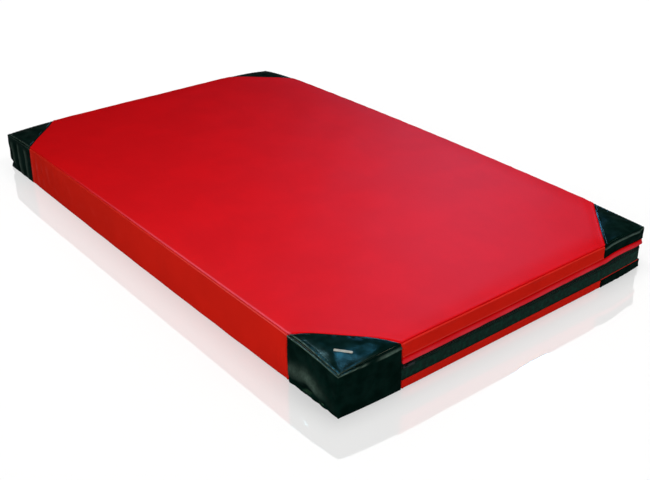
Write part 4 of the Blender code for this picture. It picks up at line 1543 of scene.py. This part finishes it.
class MAT_OT_corner_bottom_patches(bpy.types.Operator):
    """Adds the leatherette triangles on the underside"""

    bl_idname = "mat.corner_bottom_patches"
    bl_label = "Bottom corner patches"

    def execute(self, context):
        sewing = context.scene.mat_sewing
        for corner, signs in CORNERS.items():
            piece = add_triangle(f"{corner}_bottom_leatherette", signs, 0.008)

            def height(x, y):
                rim, beyond = panel_distances(x, y)
                tip = sum(edge_distances(x, y))
                level = seam_level(rim, x - y, sewing, 0.0) + seam_level(-beyond, x - y, sewing, 0.0)
                return level + FOOT_POINT * hump(rim, FOOT_REACH) + CORNER_POINT * hump(tip, POINT_REACH)

            raise_cloth(piece, height)
            lay_cloth(piece, on_underside, PATCH_THICKNESS)
            hand_over(piece, [f"{corner}_corner_bottom_patch"], leatherette(), "black_leatherette",
                      **TRIANGLE_CUT)
        return {"FINISHED"}


class MAT_OT_corner_side_patches(bpy.types.Operator):
    """Adds the leatherette that wraps each corner's sides, with its folds"""

    bl_idname = "mat.corner_side_patches"
    bl_label = "Side corner patches"

    def execute(self, context):
        for number, corner in enumerate(("near", "left", "back")):
            self.add_patch(corner, f"{corner}_corner_side_patch", f"{corner}_side_leatherette",
                           0.0, THICKNESS, 201 + 10 * number)
        self.add_patch("right", "right_corner_upper_side_patch", "right_upper_side_leatherette",
                       FLAP_TOP + SEWN_GAP, THICKNESS, 241)
        self.add_patch("right", "right_corner_lower_side_patch", "right_lower_side_leatherette",
                       0.0, LOWER_PATCH_HEIGHT, 251)
        return {"FINISHED"}

    def add_patch(self, corner, node, name, low, high, seed):
        """Leatherette round one corner, from low to high, with the corner's folds, and its painted
        highlights and sheen.
        """
        sewing = bpy.context.scene.mat_sewing
        columns = stations([(-PATCH_LEG, PATCH_LEG, 0.004)], (-PATCH_LEG, 0.0, PATCH_LEG))
        rows = wall_rows(low, high, 0.004)
        piece = flat_cloth(name, columns, rows)
        is_upper = high > LOWER_PATCH_HEIGHT

        def rim_drop(along):
            return RIM_DROPS.get(corner, (0.0,))[0] * rim_dropped(corner, -along)

        def wandering(along):
            return 0.003 * ripple(along, 0.060, seed + 4)

        def height(along, up):
            level = seam_level(PATCH_LEG - np.abs(along), up, sewing, 0.7, seed)
            level += CORNER_POINT * hump(along, POINT_REACH)
            if is_upper:
                tip = 1.0 - 0.9 * hump(along, 0.010)
                below = THICKNESS - up - rim_drop(along)
                level += seam_level(below, along, sewing, 1.8, seed + 1) * tip
                level -= 0.0004 * hump(THICKNESS - up - PATCH_HEM_DISTANCE, 0.0010)
                level -= 0.0030 * (1.0 - eased((THICKNESS - up) / 0.030)) * rim_dropped(corner, -along)
            if low == 0.0:
                level += seam_level(up, along, sewing, 0.4, seed + 2) + FOOT_POINT * hump(up, FOOT_REACH)
            else:
                level -= 0.0010 * hump(up - low, 0.0015)
            if not is_upper:
                level -= 0.0006 * hump(high - up, 0.0012)
                level += 0.0007 * uneven(along, up, 0.030, seed + 5)
            inside = PATCH_LEG - np.abs(along)
            middle = eased((up - low) / 0.02) * eased((high - up) / 0.02) * eased(inside / 0.02)
            level += 0.0010 * uneven(along, up, 0.075, seed + 3) * middle
            wander = wandering(along)
            sewn = eased(inside / 0.010)
            for start, end, reach, lift in SIDE_FOLDS[corner]:
                if low <= max(start[1], end[1]) <= high + 0.001 and (is_upper or corner != "right"):
                    level += lift * crease(along, up + wander, start, end, reach) * sewn
            if corner == "near":
                level += self.sag(along, up + wander) * sewn
            return level

        # Painted highlight on the rim's ridge, painted sheen above the near corner's sag, and on the crests
        # of the left and back corners' folds.
        def highlighted(along, up):
            most = 0.3 if corner == "left" else 1.0
            rim = most * ridge_highlight(THICKNESS - up - rim_drop(along), sewing, 0.0012)
            shares = rim * (0.80 + 0.20 * ripple(along, 0.08, seed + 6))
            if corner == "near":
                shares = np.maximum(shares, self.painted_sag_sheen(along, up + wandering(along)))
            for start, end, reach, lift in SIDE_FOLDS[corner]:
                if lift > 0.0 and corner in ("left", "back"):
                    shares = np.maximum(shares, 0.34 * crease(along, up, start, end, 0.9 * reach))
            return shares

        raise_cloth(piece, height, highlighted)
        lay_cloth(piece, round_corner(corner), PATCH_THICKNESS, SIDE_FILL if is_upper else None)
        hand_over(piece, [node], leatherette(), "black_leatherette", flat=(high - low, 2 * PATCH_LEG))

    def sag(self, along, up):
        """Cloth that hangs out over the fold below it: gently sloped above its crest, steep below."""
        places, crests, swells, _ = zip(*NEAR_SAG)
        above = up - np.interp(along, places, crests)
        swell = np.interp(along, places, swells) * (along > 0.0)
        return swell * np.where(above > 0.0, hump(above, 0.050), hump(above, 0.012))

    def painted_sag_sheen(self, along, up):
        """Painted sheen on the cloth that stands out above the crest of the sag."""
        places, crests, _, sheens = zip(*NEAR_SAG)
        above = up - np.interp(along, places, crests)
        share = np.interp(along, places, sheens) * (along > 0.0)
        middle = 0.018 + 0.10 * np.maximum(along - 0.09, 0.0)
        folds = 0.80 + 0.20 * uneven(along, up, 0.035, 217)
        return share * hump(above - middle, 0.019) * eased((above + 0.002) / 0.006) * folds


class MAT_OT_stitching(bpy.types.Operator):
    """Sews the rows of stitches that show on the cover"""

    bl_idname = "mat.stitching"
    bl_label = "Stitching"

    def execute(self, context):
        colours = context.scene.mat_colours
        red = thread_finish("red_thread", tint(colours.red_cloth, 0.75)[:3])
        black = thread_finish("black_thread", (0.012, 0.020, 0.020))
        band = (NEAR_PATCH_EDGE + 0.004, -PATCH_LEG - 0.003)
        for name, run, up, out, material, slot in (
            ("flap_stitches", (ZIP_START + 0.004, BACK_RUN - 0.003), FLAP_TOP - 0.0030, 0.0008,
             red, "red_cloth"),
            ("lower_band_stitches", band, LOWER_BAND_TOP - 0.0045, 0.0006, red, "red_cloth"),
            ("upper_band_stitches", band, THICKNESS - HEM_DISTANCE, -0.0004, red, "red_cloth"),
            ("right_corner_stitches", (0.004 - PATCH_LEG, PATCH_LEG - 0.004),
             THICKNESS - PATCH_HEM_DISTANCE, -0.0003, black, "black_leatherette"),
        ):
            self.add_row(name, run, up, out, material, slot)
        for corner, signs in CORNERS.items():
            self.add_diagonal(f"{corner}_patch_stitches", signs, black)
        return {"FINISHED"}

    def add_stitch(self, name):
        """One stitch: a short round-ended bar of thread lying along X."""
        sewing = bpy.context.scene.mat_sewing
        bpy.ops.object.select_all(action="DESELECT")
        bpy.ops.mesh.primitive_cylinder_add(vertices=6, radius=0.5, depth=1.0, end_fill_type="TRIFAN",
                                            rotation=(0.0, math.pi / 2, 0.0))
        bpy.ops.object.transform_apply(location=True, rotation=True, scale=True)
        piece = adopt(name)
        points = read_points(piece)
        tips = np.linalg.norm(points[:, 1:], axis=1) < 0.1
        points[tips, 0] *= 1.18
        points[tips, 2] -= 0.7
        points[~tips & (np.abs(points[:, 0]) > 0.4), 2] -= 0.15
        points *= np.array([sewing.stitch, sewing.thread, sewing.thread])
        write_points(piece, points)
        return piece

    def add_row(self, name, run, up, out, material, slot):
        """A row of stitches at one height of the zip's run."""
        sewing = bpy.context.scene.mat_sewing
        piece = self.add_stitch(name)
        pitch = sewing.stitch + sewing.stitch_gap
        row_of_copies(piece, pitch, int((run[1] - run[0]) / pitch))
        write_points(piece, read_points(piece) + np.array([run[0] + pitch / 2, up, out]))
        lay_on_mat(piece, round_corner("right"))
        hand_over(piece, [], material, slot, angle=80)

    def add_diagonal(self, name, signs, material):
        """A row beside a top patch's long edge, turned to lie along it."""
        sewing = bpy.context.scene.mat_sewing
        piece = self.add_stitch(name)
        pitch = sewing.stitch + sewing.stitch_gap
        length = PATCH_LEG * math.sqrt(2.0) - 0.016
        row_of_copies(piece, pitch, int(length / pitch))
        points = read_points(piece)
        points[:, 0] -= points[:, 0].mean()
        sign_x, sign_y = signs
        along = np.array([sign_x, -sign_y]) * math.sqrt(0.5)
        outward = np.array([sign_x, sign_y]) * math.sqrt(0.5)
        middle = np.array(corner_point(signs)[:2]) + outward * 0.0062
        laid = middle + points[:, :1] * along + points[:, 1:2] * outward * -sign_x * sign_y
        write_points(piece, np.column_stack((laid, points[:, 2] + 0.0008)))
        lay_on_mat(piece, on_top)
        hand_over(piece, [], material, "black_leatherette", angle=80)


class MAT_OT_blank_plate(bpy.types.Operator):
    """Adds the small blank plate on the near corner"""

    bl_idname = "mat.blank_plate"
    bl_label = "Blank plate"

    def execute(self, context):
        bpy.ops.object.select_all(action="DESELECT")
        bpy.ops.mesh.primitive_plane_add(size=1.0)
        piece = adopt("blank_plate")
        write_points(piece, read_points(piece) * np.array([PLATE_LENGTH, PLATE_WIDTH, 1.0]))
        with editing(piece, "VERT"):
            bpy.ops.mesh.bevel(offset=0.0030, segments=4, affect="VERTICES")
        with editing(piece):
            bpy.ops.mesh.extrude_region_move(TRANSFORM_OT_translate={"value": (0.0, 0.0, 0.0009)})
        with editing(piece, "FACE", [face.normal.z > 0.9 for face in piece.data.polygons]):
            bpy.ops.mesh.inset(thickness=0.0009)
            bpy.ops.transform.translate(value=(0.0, 0.0, 0.0004))
            bpy.ops.mesh.inset(thickness=0.0012)
            bpy.ops.transform.translate(value=(0.0, 0.0, -0.0003))
        points = read_points(piece)
        turn = math.radians(PLATE_TURN)
        x = points[:, 0] * math.cos(turn) - points[:, 1] * math.sin(turn)
        y = points[:, 0] * math.sin(turn) + points[:, 1] * math.cos(turn)
        middle = on_mat(on_top, np.array([[*PLATE_PLACE, 0.0]]))[0]
        write_points(piece, self.rested(np.column_stack((x, y, points[:, 2])), middle))
        material = hard_finish("plate_satin", context.scene.mat_colours.plate, 0.55, 0.0, specular=0.02)
        hand_over(piece, [], material, "black_plastic", angle=40)
        return {"FINISHED"}

    def rested(self, points, middle):
        """Lays the plate's points on the filled patch, on the plane that fits it best below the plate."""
        patch = read_points(bpy.data.objects["near_top_leatherette"]) - middle
        below = patch[np.linalg.norm(patch[:, :2], axis=1) < PLATE_REST_REACH]
        plane = np.column_stack((below[:, :2], np.ones(len(below))))
        slope_x, slope_y, level = np.linalg.lstsq(plane, below[:, 2], rcond=None)[0]
        rest = slope_x * points[:, 0] + slope_y * points[:, 1] + level + 0.7 * PATCH_THICKNESS
        return middle + np.column_stack((points[:, :2], points[:, 2] + rest))


OPERATORS = (
    MAT_OT_stage,
    MAT_OT_foam_core,
    MAT_OT_top_panel,
    MAT_OT_bottom_panel,
    MAT_OT_plain_walls,
    MAT_OT_zip_bands,
    MAT_OT_zip_flap,
    MAT_OT_zip_tapes,
    MAT_OT_zip_teeth,
    MAT_OT_zip_fittings,
    MAT_OT_corner_top_patches,
    MAT_OT_corner_bottom_patches,
    MAT_OT_corner_side_patches,
    MAT_OT_stitching,
    MAT_OT_blank_plate,
)


class MAT_PT_cover(bpy.types.Panel):
    """The mat's sizes, colours, light and pieces"""

    bl_idname = "MAT_PT_cover"
    bl_label = "Gymnastics mat"
    bl_space_type = "VIEW_3D"
    bl_region_type = "UI"
    bl_category = "Mat"

    def draw(self, context):
        for group in (context.scene.mat_sewing, context.scene.mat_colours, context.scene.mat_studio):
            box = self.layout.box()
            for name in group.bl_rna.properties.keys():
                if name not in ("rna_type", "name"):
                    box.prop(group, name)
        column = self.layout.column(align=True)
        for operator in OPERATORS:
            column.operator(operator.bl_idname)


GROUPS = {"mat_sewing": MatSewing, "mat_colours": MatColours, "mat_studio": MatStudio}


def register():
    for group in GROUPS.values():
        bpy.utils.register_class(group)
    for name, group in GROUPS.items():
        setattr(bpy.types.Scene, name, bpy.props.PointerProperty(type=group))
    for operator in OPERATORS:
        bpy.utils.register_class(operator)
    bpy.utils.register_class(MAT_PT_cover)


def unregister():
    bpy.utils.unregister_class(MAT_PT_cover)
    for operator in reversed(OPERATORS):
        bpy.utils.unregister_class(operator)
    for name in GROUPS:
        delattr(bpy.types.Scene, name)
    for group in GROUPS.values():
        bpy.utils.unregister_class(group)


def main():
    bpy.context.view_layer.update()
    register()
    for operator in OPERATORS:
        module, name = operator.bl_idname.split(".")
        getattr(getattr(bpy.ops, module), name)()


if __name__ == "__main__":
    main()
